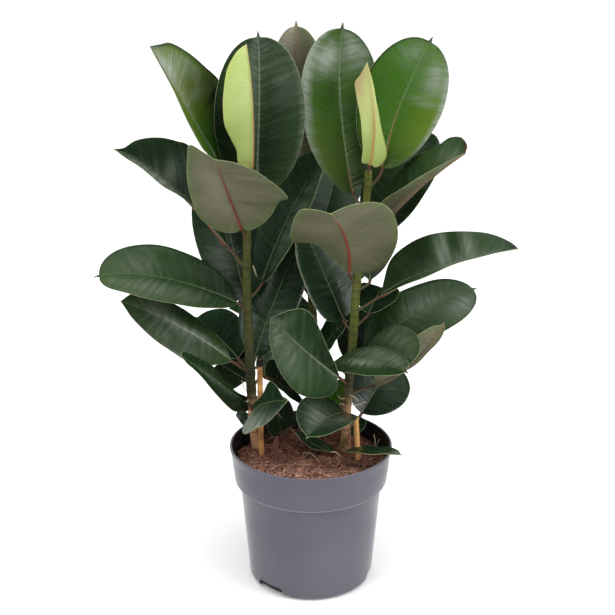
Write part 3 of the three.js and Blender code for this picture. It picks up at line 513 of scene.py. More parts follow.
def upper_material():
    g = Graph("leaf_upper")
    along, across, station, from_rib, from_edge, glow = leaf_parts(g)
    pale, deep, _ = g.parts(g.attribute("tint"))
    tone = g.noise(g.place(), 6, 1)
    dark = g.mix(g.ramp(tone, 0.25, 0.75), (0.006, 0.018, 0.0075), (0.014, 0.042, 0.0135))
    # Painted glow: a brighter yellow-green away from the margin, for light shining through the blade.
    painted_glow_green = g.mix(g.ramp(tone, 0.3, 0.7), (0.040, 0.125, 0.004), (0.115, 0.165, 0.005))
    inner = g.ramp(from_edge, 0, 5)
    base = g.mix(g.times(glow, inner), dark, painted_glow_green)
    vein = vein_wave(g, along, VEIN_PITCH, 0.55)
    streaks = leaf_streaks(g, along, across)
    base = g.mix(g.times(vein, 0.035), base, (0.06, 0.12, 0.05))
    base = g.mix(g.ramp(streaks, 0.45, 0.75, 0.0, 0.45), base, (0.040, 0.078, 0.034))
    # Painted shade: near-black green where the dark spots lie, a little less on the streaks.
    base = g.mix(g.times(deep, g.ramp(streaks, 0.2, 0.8, 1.0, 0.6)), base, (0.003, 0.007, 0.004))
    # Painted sheen: pale grey-green where the pale spots lie, broken up by the streaks.
    painted_sheen = g.times(pale, g.ramp(streaks, 0.3, 0.65, 0.4, 1.0))
    base = g.mix(painted_sheen, base, (0.205, 0.245, 0.190))
    rib_half = g.math("SUBTRACT", 1.3, g.times(station, 0.9))
    rib = g.fade(g.math("DIVIDE", from_rib, rib_half), 0.5, 1.0)
    reddish = g.fade(g.math("SUBTRACT", station, g.parts(g.attribute("red"))[0]), -0.1, 0.1)
    rib_color = g.mix(reddish, (0.12, 0.165, 0.070), (0.24, 0.085, 0.025))
    base = g.mix(g.times(rib, 0.65), base, rib_color)
    edge = g.fade(from_edge, 0.2, 0.7)
    base = g.mix(g.times(edge, 0.4), base, (0.16, 0.20, 0.11))
    tip = g.ramp(station, 0.985, 0.997)
    base = g.mix(tip, base, (0.05, 0.022, 0.012))
    height = g.plus(g.times(vein, -0.12), g.times(streaks, 2.0))
    height = g.plus(height, g.ramp(from_rib, -5, 15, 0.0, 3.2))
    height = g.plus(height, g.times(g.noise(g.place(), 420, 2), 0.12))
    rough = g.ramp(g.noise(g.place(), 25, 3), 0.3, 0.7, 0.22, 0.32)
    return g.finish(base, rough, g.bump(height, 0.0004), Specular_IOR_Level=0.5)


def under_material():
    g = Graph("leaf_under")
    along, across, station, from_rib, from_edge, _ = leaf_parts(g)
    pale, deep, _ = g.parts(g.attribute("tint"))
    tone = g.noise(g.place(), 12, 3)
    base = g.mix(g.ramp(tone, 0.3, 0.7), (0.100, 0.104, 0.056), (0.145, 0.138, 0.084))
    base = g.mix(g.fade(from_edge, 0, 14), base, (0.100, 0.130, 0.048))
    vein = vein_wave(g, along, VEIN_PITCH, 0.3)
    fine = vein_wave(g, along, VEIN_PITCH / 4, 0.2)
    streaks = leaf_streaks(g, along, across)
    lines = g.plus(g.times(vein, 0.12), g.times(fine, 0.05))
    base = g.mix(lines, base, (0.08, 0.10, 0.04))
    base = g.mix(g.ramp(streaks, 0.4, 0.75, 0.0, 0.35), base, (0.19, 0.18, 0.125))
    # Painted sheen from the pale spots, then painted shade from the dark spots.
    base = g.mix(pale, base, (0.28, 0.26, 0.20))
    base = g.mix(deep, base, (0.045, 0.050, 0.022))
    edge = g.fade(from_edge, 0.3, 1.0)
    base = g.mix(g.times(edge, 0.6), base, (0.36, 0.37, 0.25))
    rib_half = g.math("SUBTRACT", 3.0, g.times(station, 2.3))
    rib = g.fade(g.math("DIVIDE", from_rib, rib_half), 0.6, 1.0)
    keel_red = g.parts(g.attribute("red"))[1]
    rib_color = g.mix(keel_red, (0.13, 0.11, 0.06), (0.185, 0.046, 0.028))
    rib_color = g.mix(g.ramp(station, 0.6, 1.0), rib_color, (0.20, 0.13, 0.06))
    base = g.mix(rib, base, rib_color)
    height = g.plus(g.times(vein, 0.5), g.times(fine, 0.2))
    height = g.plus(height, g.times(g.noise(g.place(), 500, 2), 0.3))
    height = g.plus(height, g.times(streaks, 2.0))
    rough = g.ramp(g.noise(g.place(), 25, 3), 0.3, 0.7, 0.42, 0.52)
    return g.finish(base, rough, g.bump(height, 0.0003), Specular_IOR_Level=0.45)


def margin_material():
    g = Graph("leaf_margin")
    tone = g.noise(g.place(), 90, 2)
    return g.finish(g.mix(tone, (0.20, 0.25, 0.10), (0.34, 0.36, 0.18)), 0.45)


def petiole_material():
    g = Graph("leaf_petiole")
    _, around, station = g.parts(g.attribute("grain"))
    tone = g.noise(g.place(), 70, 3)
    green = g.mix(tone, (0.055, 0.062, 0.018), (0.095, 0.10, 0.03))
    brown = g.mix(tone, (0.060, 0.024, 0.014), (0.11, 0.052, 0.026))
    base = g.mix(g.ramp(g.plus(station, g.times(tone, 0.8)), -0.7, 0.4), green, brown)
    streaks = g.noise(g.place(), 300, 2)
    return g.finish(base, 0.42, g.bump(streaks, 0.0002))


def young_material():
    g = Graph("leaf_young")
    along, _, station, from_rib, from_edge, _ = leaf_parts(g)
    tone = g.noise(g.place(), 18, 3)
    base = g.mix(g.ramp(tone, 0.3, 0.7), (0.36, 0.46, 0.115), (0.46, 0.53, 0.19))
    base = g.mix(g.ramp(station, 0.0, 0.9), g.mix(0.4, base, (0.25, 0.36, 0.07)), base)
    vein = vein_wave(g, along, VEIN_PITCH / 3, 0.2)
    base = g.mix(g.times(vein, 0.14), base, (0.30, 0.40, 0.09))
    deep = g.parts(g.attribute("tint"))[1]
    base = g.mix(g.times(deep, 0.8), base, (0.34, 0.20, 0.105))
    rib = g.fade(from_rib, 0.5, 1.4)
    rib_color = g.mix(g.ramp(station, 0.3, 0.8), (0.34, 0.15, 0.045), (0.40, 0.33, 0.12))
    base = g.mix(g.times(rib, 0.75), base, rib_color)
    edge = g.fade(from_edge, 0.2, 1.0)
    base = g.mix(g.times(edge, 0.5), base, (0.45, 0.33, 0.15))
    return g.finish(base, 0.36, g.bump(vein, 0.00015), Specular_IOR_Level=0.5)


def bark_material():
    g = Graph("bark")
    place = g.place()
    x, y, z = g.parts(place)
    streaky = g.join(x, y, g.times(z, 0.12))
    streaks = g.noise(streaky, 420, 4, 0.6)
    patches = g.noise(place, 28, 4)
    age = g.plus(z, g.times(patches, 0.09))
    green = g.mix(streaks, (0.045, 0.060, 0.008), (0.160, 0.180, 0.028))
    olive = g.mix(streaks, (0.026, 0.030, 0.009), (0.075, 0.070, 0.022))
    brown = g.mix(streaks, (0.15, 0.080, 0.034), (0.60, 0.35, 0.17))
    tan = g.mix(streaks, (0.30, 0.14, 0.062), (0.86, 0.50, 0.27))
    color = g.mix(g.ramp(age, 0.215, 0.285), tan, brown)
    color = g.mix(g.ramp(age, 0.29, 0.34), color, olive)
    color = g.mix(g.ramp(age, 0.35, 0.44), color, green)
    shaded = g.times(g.ramp(x, -0.03, 0.02, 0.5, 0.0), g.ramp(z, 0.27, 0.31))
    color = g.mix(shaded, color, (0.018, 0.022, 0.006))
    ring = g.parts(g.attribute("grain"))[0]
    color = g.mix(g.times(ring, 0.75), color, (0.022, 0.020, 0.008))
    dots = g.ramp(g.noise(place, 650, 1), 0.66, 0.72)
    color = g.mix(g.times(dots, 0.4), color, (0.35, 0.26, 0.13))
    height = g.plus(streaks, g.times(dots, 0.6))
    return g.finish(color, g.ramp(age, 0.3, 0.45, 0.8, 0.42), g.bump(height, 0.0006))


def cane_material():
    g = Graph("cane")
    x, y, z = g.parts(g.place())
    streaks = g.noise(g.join(x, y, g.times(z, 0.05)), 700, 3, 0.6)
    patches = g.noise(g.place(), 30, 3)
    color = g.mix(streaks, (0.40, 0.175, 0.045), (0.88, 0.49, 0.155))
    color = g.mix(g.ramp(patches, 0.5, 0.75), color, (0.20, 0.08, 0.025))
    color = g.mix(g.ramp(z, 0.325, 0.329), color, (0.016, 0.012, 0.012))
    return g.finish(color, 0.45, g.bump(streaks, 0.0003))


def husk_material():
    g = Graph("husk")
    x, y, z = g.parts(g.place())
    streaks = g.noise(g.join(x, y, g.times(z, 0.15)), 900, 3, 0.6)
    color = g.mix(streaks, (0.07, 0.028, 0.020), (0.30, 0.15, 0.095))
    return g.finish(color, 0.75, g.bump(streaks, 0.0006))


def pot_material():
    g = Graph("pot")
    cloud = g.noise(g.place(), 6, 4)
    grain = g.noise(g.place(), 1500, 2)
    color = g.mix(g.ramp(cloud, 0.3, 0.7), (0.102, 0.097, 0.123), (0.126, 0.119, 0.148))
    scuffs = g.ramp(g.noise(g.place(), 140, 4, 0.7), 0.66, 0.74)
    color = g.mix(g.times(scuffs, 0.2), color, (0.19, 0.185, 0.21))
    rough = g.ramp(cloud, 0.3, 0.7, 0.36, 0.46)
    return g.finish(color, rough, g.bump(grain, 0.00008), Specular_IOR_Level=0.5, Sheen_Weight=0.8,
                    Sheen_Roughness=0.35)


def pot_inside_material():
    g = Graph("pot_inside")
    grain = g.noise(g.place(), 900, 2)
    return g.finish(g.mix(grain, (0.006, 0.006, 0.007), (0.014, 0.013, 0.015)), 0.55, g.bump(grain, 0.0001))


def soil_material():
    g = Graph("soil")
    place = g.place()
    coarse = g.noise(place, 90, 4, 0.6)
    fine = g.noise(place, 480, 4, 0.7)
    color = g.mix(g.ramp(fine, 0.3, 0.7), (0.026, 0.011, 0.007), (0.25, 0.105, 0.070))
    color = g.mix(g.ramp(coarse, 0.55, 0.75), color, (0.010, 0.005, 0.004))
    # Below 0.10 to 0.15 m the soil is painted dark grey: painted shade of the pot floor seen through the foot
    # notches.
    color = g.mix(g.ramp(g.parts(place)[2], 0.10, 0.15), (0.045, 0.043, 0.052), color)
    height = g.plus(fine, g.times(coarse, 2))
    return g.finish(color, 0.95, g.bump(height, 0.002), Specular_IOR_Level=0.2)


def fibre_material():
    g = Graph("fibre")
    tone, warmth, _ = g.parts(g.attribute("grain"))
    color = g.mix(tone, (0.075, 0.028, 0.019), (1.0, 0.63, 0.46))
    color = g.mix(g.times(warmth, 0.45), color, (0.42, 0.15, 0.09))
    return g.finish(color, 0.8, Specular_IOR_Level=0.3)


def strand_material():
    g = Graph("strand")
    tone = g.parts(g.attribute("grain"))[0]
    return g.finish(g.mix(tone, (0.10, 0.045, 0.025), (0.66, 0.58, 0.42)), 0.7)


# Curves

def unit(v):
    return v / np.maximum(np.linalg.norm(v, axis=-1, keepdims=True), 1e-9)


def square_to(hint, tangent):
    return unit(hint - tangent * np.sum(hint * tangent, axis=-1, keepdims=True))


def circle(radius, z, sides):
    angles = [2 * math.pi * k / sides for k in range(sides)]
    return [(radius * math.cos(angle), radius * math.sin(angle), z) for angle in angles]


class Path:
    """A polyline that is read by the share of its length."""

    def __init__(self, points):
        self.points = np.asarray(points, float)
        steps = np.linalg.norm(np.diff(self.points, axis=0), axis=1)
        self.at = np.concatenate([[0], np.cumsum(steps)])
        self.length = self.at[-1]
        self.at = self.at / self.length

    def point(self, u):
        return np.stack([np.interp(u, self.at, self.points[:, k]) for k in range(3)], -1)

    def tangent(self, u):
        u = np.asarray(u, float)
        return unit(self.point(np.minimum(u + TANGENT_STEP, 1)) - self.point(np.maximum(u - TANGENT_STEP, 0)))


def quadratic(foot, middle, tip, count=240):
    a, m, b = (np.array(p, float) for p in (foot, middle, tip))
    control = 2 * m - 0.5 * a - 0.5 * b
    t = np.linspace(0, 1, count)[:, None]
    return Path((1 - t) ** 2 * a + 2 * t * (1 - t) * control + t ** 2 * b)


def cubic(points, count=80):
    a, b, c, d = (np.asarray(p, float) for p in points)
    t = np.linspace(0, 1, count)[:, None]
    return Path((1 - t) ** 3 * a + 3 * t * (1 - t) ** 2 * b + 3 * t ** 2 * (1 - t) * c + t ** 3 * d)


def between(p, q, start, end, t):
    return p * (end - t) / (end - start) + q * (t - start) / (end - start)


def centripetal(points, steps=24):
    """A smooth line through the points, with knots spaced by the square root of their distances."""
    p = [np.array(q, float) for q in points]
    p = [2 * p[0] - p[1]] + p + [2 * p[-1] - p[-2]]
    line = []
    for i in range(1, len(p) - 2):
        quad = p[i - 1:i + 3]
        knots = [0.0]
        for a, b in zip(quad, quad[1:]):
            knots.append(knots[-1] + math.sqrt(np.linalg.norm(b - a)))
        for step in range(steps + (i == len(p) - 3)):
            t = knots[1] + (knots[2] - knots[1]) * step / steps
            sides = [between(quad[k], quad[k + 1], knots[k], knots[k + 1], t) for k in range(3)]
            bends = [between(sides[k], sides[k + 1], knots[k], knots[k + 2], t) for k in range(2)]
            line.append(between(*bends, knots[1], knots[2], t))
    return Path(line)


def stem_path(side):
    line = STEMS[side]["line"]
    foot = (line[0][0] * BURIED_LEAN, line[0][1] * BURIED_LEAN, line[0][2] - STEM_DEPTH_IN_SOIL)
    return centripetal([foot, *line])


def stem_radius(side, u):
    low, high = STEMS[side]["radii"]
    return low + (high - low) * u


# Meshes

def piece(name, points, faces, materials, face_material=None, attributes=None, smooth=True):
    mesh = bpy.data.meshes.new(name)
    mesh.from_pydata((np.reshape(points, (-1, 3)) * MM).tolist(), [], faces)
    for material in materials:
        mesh.materials.append(material)
    if face_material is not None:
        mesh.polygons.foreach_set("material_index", np.asarray(face_material, np.int32))
    for key, values in (attributes or {}).items():
        layer = mesh.attributes.new(key, "FLOAT_VECTOR", "POINT")
        layer.data.foreach_set("vector", np.asarray(values, np.float32).ravel())
    mesh.polygons.foreach_set("use_smooth", np.full(len(mesh.polygons), smooth))
    mesh.update()
    made = bpy.data.objects.new(name, mesh)
    bpy.context.scene.collection.objects.link(made)
    return made


def flip_if_inside_out(made):
    mesh = made.data
    co = np.zeros(len(mesh.vertices) * 3)
    mesh.vertices.foreach_get("co", co)
    co = co.reshape(-1, 3)
    mesh.calc_loop_triangles()
    tri = np.zeros(len(mesh.loop_triangles) * 3, np.int32)
    mesh.loop_triangles.foreach_get("vertices", tri)
    a, b, c = (co[tri.reshape(-1, 3)[:, k]] for k in range(3))
    if np.sum(a * np.cross(b, c)) < 0:
        mesh.flip_normals()


def stand_for(made, node):
    flip_if_inside_out(made)
    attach(made, "root")
    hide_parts(node)


def ring_faces(rings, sides, first_cap=True):
    faces = []
    for ring in range(rings - 1):
        for k in range(sides):
            a, b = ring * sides + k, ring * sides + (k + 1) % sides
            faces.append((a, b, b + sides, a + sides))
    if first_cap:
        faces.append(tuple(range(sides - 1, -1, -1)))
    faces.append(tuple((rings - 1) * sides + k for k in range(sides)))
    return faces


def tube(path, stations, radii, sides, wobble=1):
    """Rings of points round a path; the wobble scales each point's radius."""
    tangent = path.tangent(stations)
    across = square_to(np.tile([1.0, 0, 0], (len(stations), 1)), tangent)
    along = np.cross(tangent, across)
    angle = 2 * math.pi * np.arange(sides) / sides
    radius = np.asarray(radii)[:, None] * wobble
    out = across[:, None] * np.cos(angle)[None, :, None] + along[:, None] * np.sin(angle)[None, :, None]
    return path.point(stations)[:, None] + out * radius[..., None]


# Leaves

def half_width(s, leaf):
    x = np.minimum(1, (np.maximum(s, 0) / TIP_START) ** leaf.get("belly", BELLY))
    oval = leaf["width"] / 2 * np.maximum(0, 1 - (2 * x - 1) ** 2) ** ROUNDNESS
    tip = TIP_HALF_WIDTH * np.minimum(1, (1 - s) / (1 - TIP_START)) + TIP_END_HALF_WIDTH
    return (oval ** 4 + tip ** 4) ** 0.25


def smooth_line(points, u):
    """A uniform Catmull-Rom line through the points, read from 0 at the first to 1 at the last."""
    p = np.asarray(points, float)
    n = len(p) - 1
    i = np.minimum((u * n).astype(int), n - 1)
    w = (u * n - i)[:, None]
    p0, p1, p2, p3 = p[np.maximum(i - 1, 0)], p[i], p[i + 1], p[np.minimum(i + 2, n)]
    v1, v2 = (p2 - p0) / 2, (p3 - p1) / 2
    return (2 * p1 - 2 * p2 + v1 + v2) * w ** 3 + (3 * p2 - 3 * p1 - 2 * v1 - v2) * w ** 2 + v1 * w + p1


def margin_points(leaf, length, rows):
    """Where each row ends on the margin, first on the left half and then on the right: along, and out."""
    if "margins" in leaf:
        ends = [smooth_line([(0, PETIOLE_RADIUS), *half, (length, TIP_END_HALF_WIDTH)], rows)
                for half in leaf["margins"]]
        return [(end[:, 0], np.maximum(end[:, 1], TIP_END_HALF_WIDTH)) for end in ends]
    ends = rows + VEIN_LEAN * 4 * rows * (1 - rows) * leaf["width"] / 2 / length
    ends = np.maximum.accumulate(np.minimum(ends, 1))
    return [(ends * length, half_width(ends, leaf))] * 2


def two(value):
    return value if isinstance(value, tuple) else (value, value)


def blade_rows(length):
    u = np.linspace(0, 1, int(length / ROW_STEP))
    rows = 0.6 * u + 0.2 * (1 - np.cos(math.pi * u))
    rows = np.unique(np.round(np.concatenate([rows, CLOSE_ROWS]), 4))
    keep = [rows[0]]
    for row in rows[1:]:
        if row - keep[-1] > LEAST_ROW_STEP:
            keep.append(row)
    keep[-1] = 1.0
    return np.array(keep)


def upward(leaf, tangent):
    return square_to(np.broadcast_to(unit(np.array(leaf["face"], float)), tangent.shape), tangent)


def blade_surface(leaf, curve, along, half, q):
    """Points and normals of the upper face, from the way along, the half width and the share across."""
    s = np.clip(along / curve.length, 0, 1)
    tangent = curve.tangent(s)
    up = upward(leaf, tangent)
    side = np.cross(tangent, up)
    folds, curls = np.radians(two(leaf["fold"])), np.radians(two(leaf["curl"]))
    fold = np.where(q > 0, folds[1], folds[0])
    bend = np.where(q > 0, curls[1], curls[0])
    bend = np.where(np.abs(bend) < LEAST_BEND, LEAST_BEND, bend)
    slope = fold + bend * np.abs(q)
    reach = np.sign(q) * half * (np.sin(slope) - np.sin(fold)) / bend
    rise = half * (np.cos(fold) - np.cos(slope)) / bend
    slope = slope * np.sign(q)
    centre = curve.point(s) + tangent * (along - s * curve.length)[..., None]
    point = centre + side * reach[..., None] + up * rise[..., None]
    normal = up * np.cos(slope)[..., None] - side * np.sin(slope)[..., None]
    return point, normal


def soft_spots(spots, s, t):
    """How strong the soft spots are at each station and share across."""
    total = 0 * s
    for station, share, reach, spread, amount in spots:
        total = total + amount * np.exp(-((s - station) / reach) ** 2 - ((t - share) / spread) ** 2)
    return np.minimum(total, STRONGEST_SPOT)


def beside_rib(shape, columns):
    """The shape's values on the columns from the midrib out, alike on both sides, and 0 beyond them."""
    values = np.zeros(columns)
    middle = columns // 2
    for k, value in enumerate(shape):
        values[middle + k] = values[middle - k] = value
    return values


def blade_relief(rows, s, t, length, rng):
    """Low relief: the veins lie a little below the face, the margin waves, and the midrib is a groove."""
    along = (rows * length)[:, None] + 0 * t
    inside = np.clip(np.abs(t) * 6, 0, 1) * np.clip((1 - np.abs(t)) * 8, 0, 1) * np.clip((1 - s) * 8, 0, 1)
    relief = -VEIN_RELIEF * np.cos(2 * math.pi * along / VEIN_PITCH) * inside
    waves = rng.uniform(0, 2 * math.pi, 3)
    sway = np.sin(2 * math.pi * 1.4 * s + waves[0]) + 0.6 * np.sin(2 * math.pi * 2.9 * s + waves[1] + 2 * t)
    relief = relief + MARGIN_WAVE * sway * t ** 2 * np.clip(s * 5, 0, 1) * np.clip((1 - s) * 6, 0, 1)
    groove = beside_rib(GROOVE_SHAPE, t.shape[1]) * (GROOVE_DEPTH - GROOVE_TAPER * rows[:, None])
    return relief - groove * np.clip(rows[:, None] * 30, 0, 1)


def blade_half(curve, rows, end_along, end_out):
    """One half's columns from the midrib out: share across, way along, half width and the margin's inset."""
    out = end_out[:, None]
    near = (KEEL_HALF_WIDTH - KEEL_TAPER * rows)[:, None] * np.array(KEEL_COLUMNS)
    near = near * np.minimum(1, 0.5 * out / near[:, -1:])
    inset = np.minimum(MARGIN_INSET, 0.15 * out)
    share = np.linspace(0, 1, OUTER_COLUMNS + 1)[1:]
    dist = np.concatenate([near, near[:, -1:] + (out - inset - near[:, -1:]) * share], 1)
    start = (rows * curve.length)[:, None]
    return dist / out, start + (end_along[:, None] - start) * dist / out, out + 0 * dist, inset


def blade_rings(leaf, curve, rows, rng):
    """Rings round the blade, each point's share across, station and half width, and the face's columns."""
    left, right = (blade_half(curve, rows, *ends) for ends in margin_points(leaf, curve.length, rows))
    t = np.concatenate([-left[0][:, :0:-1], right[0]], 1)
    along, half = (np.concatenate([left[k][:, :0:-1], right[k]], 1) for k in (1, 2))
    point, normal = blade_surface(leaf, curve, along, half, t)
    s = np.clip(along / curve.length, 0, 1)
    top = point + normal * blade_relief(rows, s, t, curve.length, rng)[..., None]
    columns = t.shape[1]
    keel = KEEL_FOOT_DEPTH * (1 - rows) ** 0.8 + KEEL_TIP_DEPTH
    depth = BLADE_THICKNESS - MARGIN_THINNING * t ** 2 + beside_rib(KEEL_SHAPE, columns) * keel[:, None]
    bottom = top - normal * depth[..., None]
    right_edge = (top[:, -1] + bottom[:, -1]) / 2 + unit(top[:, -1] - top[:, -2]) * right[3]
    left_edge = (top[:, 0] + bottom[:, 0]) / 2 + unit(top[:, 0] - top[:, 1]) * left[3]
    rings = np.concatenate([top, right_edge[:, None], bottom[:, ::-1], left_edge[:, None]], 1)
    one = np.ones((len(rows), 1))
    t = np.concatenate([t, one, t[:, ::-1], -one], 1)
    s, half = (np.concatenate([v, v[:, -1:], v[:, ::-1], v[:, :1]], 1) for v in (s, half))
    return rings, t, s, half, columns


def petiole_rings(leaf, stem, curve, columns):
    """Rings of the stalk, how far along it each one lies, and how far to the side each of its points."""
    path = stem_path(stem)
    node_u = np.interp(leaf["node"], path.points[:, 2], path.at)
    root, foot = path.point(node_u), curve.point(0.0)
    reach = np.linalg.norm(foot - root)
    outward = unit(np.array([foot[0] - root[0], foot[1] - root[1], 0.35 * reach]))
    stalk = cubic([root, root + 0.4 * reach * outward, foot - 0.35 * reach * curve.tangent(0.0), foot])
    first = min(0.6, (stem_radius(stem, node_u) - 1.2) / stalk.length)
    u = np.linspace(first, PETIOLE_END, PETIOLE_RINGS)
    tangent = stalk.tangent(u)
    up = upward(leaf, tangent)
    side = np.cross(tangent, up)
    settle = np.clip((u - 0.5) / 0.5, 0, 1) ** 2
    centre = stalk.point(u) - up * (settle * (PETIOLE_RADIUS - 0.5))[:, None]
    radius = PETIOLE_RADIUS * (0.92 + PETIOLE_SWELL * np.exp(-((u - first) / 0.12) ** 2))
    turn = (np.arange(columns) / (columns - 1) - 0.5) * math.pi * 0.96
    x = np.concatenate([np.sin(turn), [1], np.sin(turn[::-1]), [-1]])
    y = np.concatenate([np.cos(turn), [0], -np.cos(turn[::-1]), [0]])
    y = np.where(y > 0, y * 0.85, y)
    out = side[:, None] * x[None, :, None] + up[:, None] * y[None, :, None]
    return centre[:, None] + radius[:, None, None] * out, u, x


def leaf_piece(key, stem, leaf, materials, seed):
    curve = quadratic(*leaf["rib"])
    rows = blade_rows(curve.length)
    blade, t, s, half, columns = blade_rings(leaf, curve, rows, np.random.default_rng(seed))
    stalk, u, x = petiole_rings(leaf, stem, curve, columns)
    rings = np.concatenate([stalk, blade], 0)
    count, sides = rings.shape[:2]

    # Which material each face has: upper, under, margin or petiole.
    segment = np.tile(np.arange(sides), count - 1)
    at_margin = (segment == columns - 1) | (segment == columns) | (segment >= sides - 2)
    kind = np.where(at_margin, MARGIN, np.where(segment < columns, UPPER, UNDER))
    kind = np.where(np.repeat(np.arange(count - 1), sides) < len(stalk), PETIOLE, kind)
    kind = np.concatenate([kind, [PETIOLE, MARGIN]])

    # What the materials read at each point.
    grain, size, tint, red = (np.zeros(rings.shape) for _ in range(4))
    grain[:len(u), :, 1] = x
    grain[:len(u), :, 2] = (u - 1)[:, None]
    grain[len(u):] = np.stack([(rows * curve.length)[:, None] + 0 * t, t, s], -1)
    size[len(u):, :, 0] = np.abs(t) * half
    size[len(u):, :, 1] = (1 - np.abs(t)) * half
    size[..., 2] = leaf.get("glow", 0)
    # Pale spots are painted sheen; dark spots are painted shade, and on a young leaf its own pinkish brown.
    tint[len(u):, :, 0] = soft_spots(PAINTED_SHEEN.get(key, []), s, t)
    tint[len(u):, :, 1] = soft_spots(PAINTED_SHADE_AND_PINK.get(key, []), s, t)
    red[..., 0] = leaf.get("red", NO_RED)
    red[..., 1] = leaf.get("keel_red", 1)
    marks = {"grain": grain, "size": size, "red": red, "tint": tint}
    return piece(f"leaf_{key}_grown", rings, ring_faces(count, sides), materials, kind, marks)


def build_leaves():
    grown = [upper_material(), under_material(), margin_material(), petiole_material()]
    new = [young_material()] * 3 + [petiole_material()]
    for side, leaves in LEAVES.items():
        for number, leaf in enumerate(leaves, 1):
            key = f"{side}_{number:02d}"
            young = "young" in leaf
            made = leaf_piece(key, side, leaf, new if young else grown, 100 * len(side) + number)
            stand_for(made, "leaf_" + key)


# Stems, canes and husks

def build_stems():
    bark = bark_material()
    for side in STEMS:
        path = stem_path(side)
        stations = np.linspace(0, 1, int(path.length / BARK_STEP))
        heights = path.point(stations)[:, 2]
        swell = np.zeros(len(stations))
        scar = np.zeros(len(stations))
        for height in [*BARK_RINGS, *(leaf["node"] for leaf in LEAVES[side])]:
            swell += SWELL * np.exp(-((heights - height) / SWELL_REACH) ** 2)
            above = heights - height - SCAR_ABOVE_NODE
            scar = np.maximum(scar, np.exp(-(above / SCAR_REACH) ** 2))
        radii = stem_radius(side, stations) - BARK_INSET + np.minimum(swell, MOST_SWELL)
        radii -= SCAR_DEPTH * scar
        radii[-1] *= 0.35
        radii[-2] *= 0.8
        wobble = np.ones((len(stations), BARK_SIDES))
        for i, height in enumerate(heights):
            rough = ROUGH_BARK if height < ROUGH_BARK_TOP else SMOOTH_BARK
            for k, (x, y, _) in enumerate(circle(2.2, 0, BARK_SIDES)):
                wobble[i, k] += rough * noise.noise(Vector((x, y, height / 24)))
        points = tube(path, stations, radii, BARK_SIDES, wobble)
        grain = np.zeros(points.shape)
        grain[..., 0] = scar[:, None]
        faces = ring_faces(len(stations), BARK_SIDES)
        made = piece(f"stem_{side}_bark", points, faces, [bark], None, {"grain": grain})
        stand_for(made, f"stem_{side}")


def build_canes():
    material = cane_material()
    for side, ends in CANES.items():
        path = Path(ends)
        stations = np.linspace(0, 1, int(path.length / CANE_STEP))
        from_joint = stations * path.length % CANE_JOINT_PITCH - CANE_FIRST_JOINT
        joint = np.exp(-(from_joint / CANE_JOINT_REACH) ** 2)
        radii = CANE_RADIUS - CANE_INSET + CANE_JOINT_SWELL * joint
        points = tube(path, stations, radii, CANE_SIDES)
        made = piece(f"cane_{side}_wood", points, ring_faces(len(stations), CANE_SIDES), [material])
        stand_for(made, f"cane_{side}")


def build_husks():
    material = husk_material()
    for side, husk in HUSKS.items():
        path = centripetal(husk["line"])
        stations = np.linspace(0, 1, HUSK_RINGS)
        sizes = np.interp(stations, np.linspace(0, 1, len(husk["sizes"])), husk["sizes"])[:, None]
        across = np.linspace(-1, 1, HUSK_COLUMNS)
        tangent = path.tangent(stations)
        wide = square_to(np.tile([1.0, 0, 0], (HUSK_RINGS, 1)), tangent)
        deep = np.cross(tangent, wide)
        curl = 0.4 * sizes * (across ** 2 - 0.4) + 0.35 * np.sin(9 * across + 14 * stations[:, None])
        middle = path.point(stations)[:, None] + wide[:, None] * (sizes * across)[..., None]
        halves = (HUSK_HALF_THICKNESS, -HUSK_HALF_THICKNESS)
        front, back = (middle + deep[:, None] * (curl + half)[..., None] for half in halves)
        rings = np.concatenate([front, back[:, ::-1]], 1)
        made = piece(f"husk_{side}_dry", rings, ring_faces(HUSK_RINGS, 2 * HUSK_COLUMNS), [material])
        stand_for(made, f"husk_{side}")


# Pot

def pot_profile():
    base, foot, top = BASE_RADIUS, BODY_FOOT_RADIUS, BODY_TOP_RADIUS
    collar, rim = COLLAR_FOOT_RADIUS, RIM_RADIUS
    step, lip = COLLAR_FOOT_HEIGHT, POT_HEIGHT - LIP_HEIGHT
    return [
        (0, 0), (base - 6, 0), (base - 2, 0), (base - 0.6, 0.3), (base, 1), (base + 2.2, 3),
        (foot - 0.8, 5.2), (foot - 0.1, 8), (foot, 10), (foot + 4, 60), (foot + 8, 106),
        (top, step - 4), (top + 0.6, step - 3), (collar - 5, step - 2.6), (collar - 2.6, step - 2),
        (collar - 0.9, step - 0.4), (collar, step + 3), (collar + 0.9, step + 12),
        (rim - 3.4, lip - 12), (rim - 2.5, lip), (rim - 1.8, lip + 3), (rim - 0.5, lip + 8),
        (rim - 0.05, lip + 10), (rim - 0.2, lip + 11.3), (rim - 0.9, lip + 12), (rim - 2.6, lip + 12),
        (rim - 3.3, lip + 11.4), (rim - 3.5, lip + 10), (rim - 2.5 - WALL, lip),
        (collar - WALL, step + 4), (top - WALL, step + 1), (foot - WALL, 9), (base - WALL, 3), (0, 3),
    ]


def lathe(name, profile, sectors, materials, inside_from):
    points = [(0, 0, profile[0][1])]
    rings = profile[1:-1]
    for radius, z in rings:
        points += circle(radius, z, sectors)
    points.append((0, 0, profile[-1][1]))
    faces, kinds = [], []
    last = len(points) - 1
    base = 1 + (len(rings) - 1) * sectors
    for k in range(sectors):
        after = (k + 1) % sectors
        faces += [(0, 1 + after, 1 + k), (last, base + k, base + after)]
        kinds += [0, 1]
        for i in range(len(rings) - 1):
            a = 1 + i * sectors
            faces.append((a + k, a + after, a + sectors + after, a + sectors + k))
            kinds.append(1 if i + 1 >= inside_from else 0)
    return piece(name, points, faces, materials, kinds)


def cutter(points, faces):
    made = piece("cutter", points, faces, [])
    flip_if_inside_out(made)
    return made


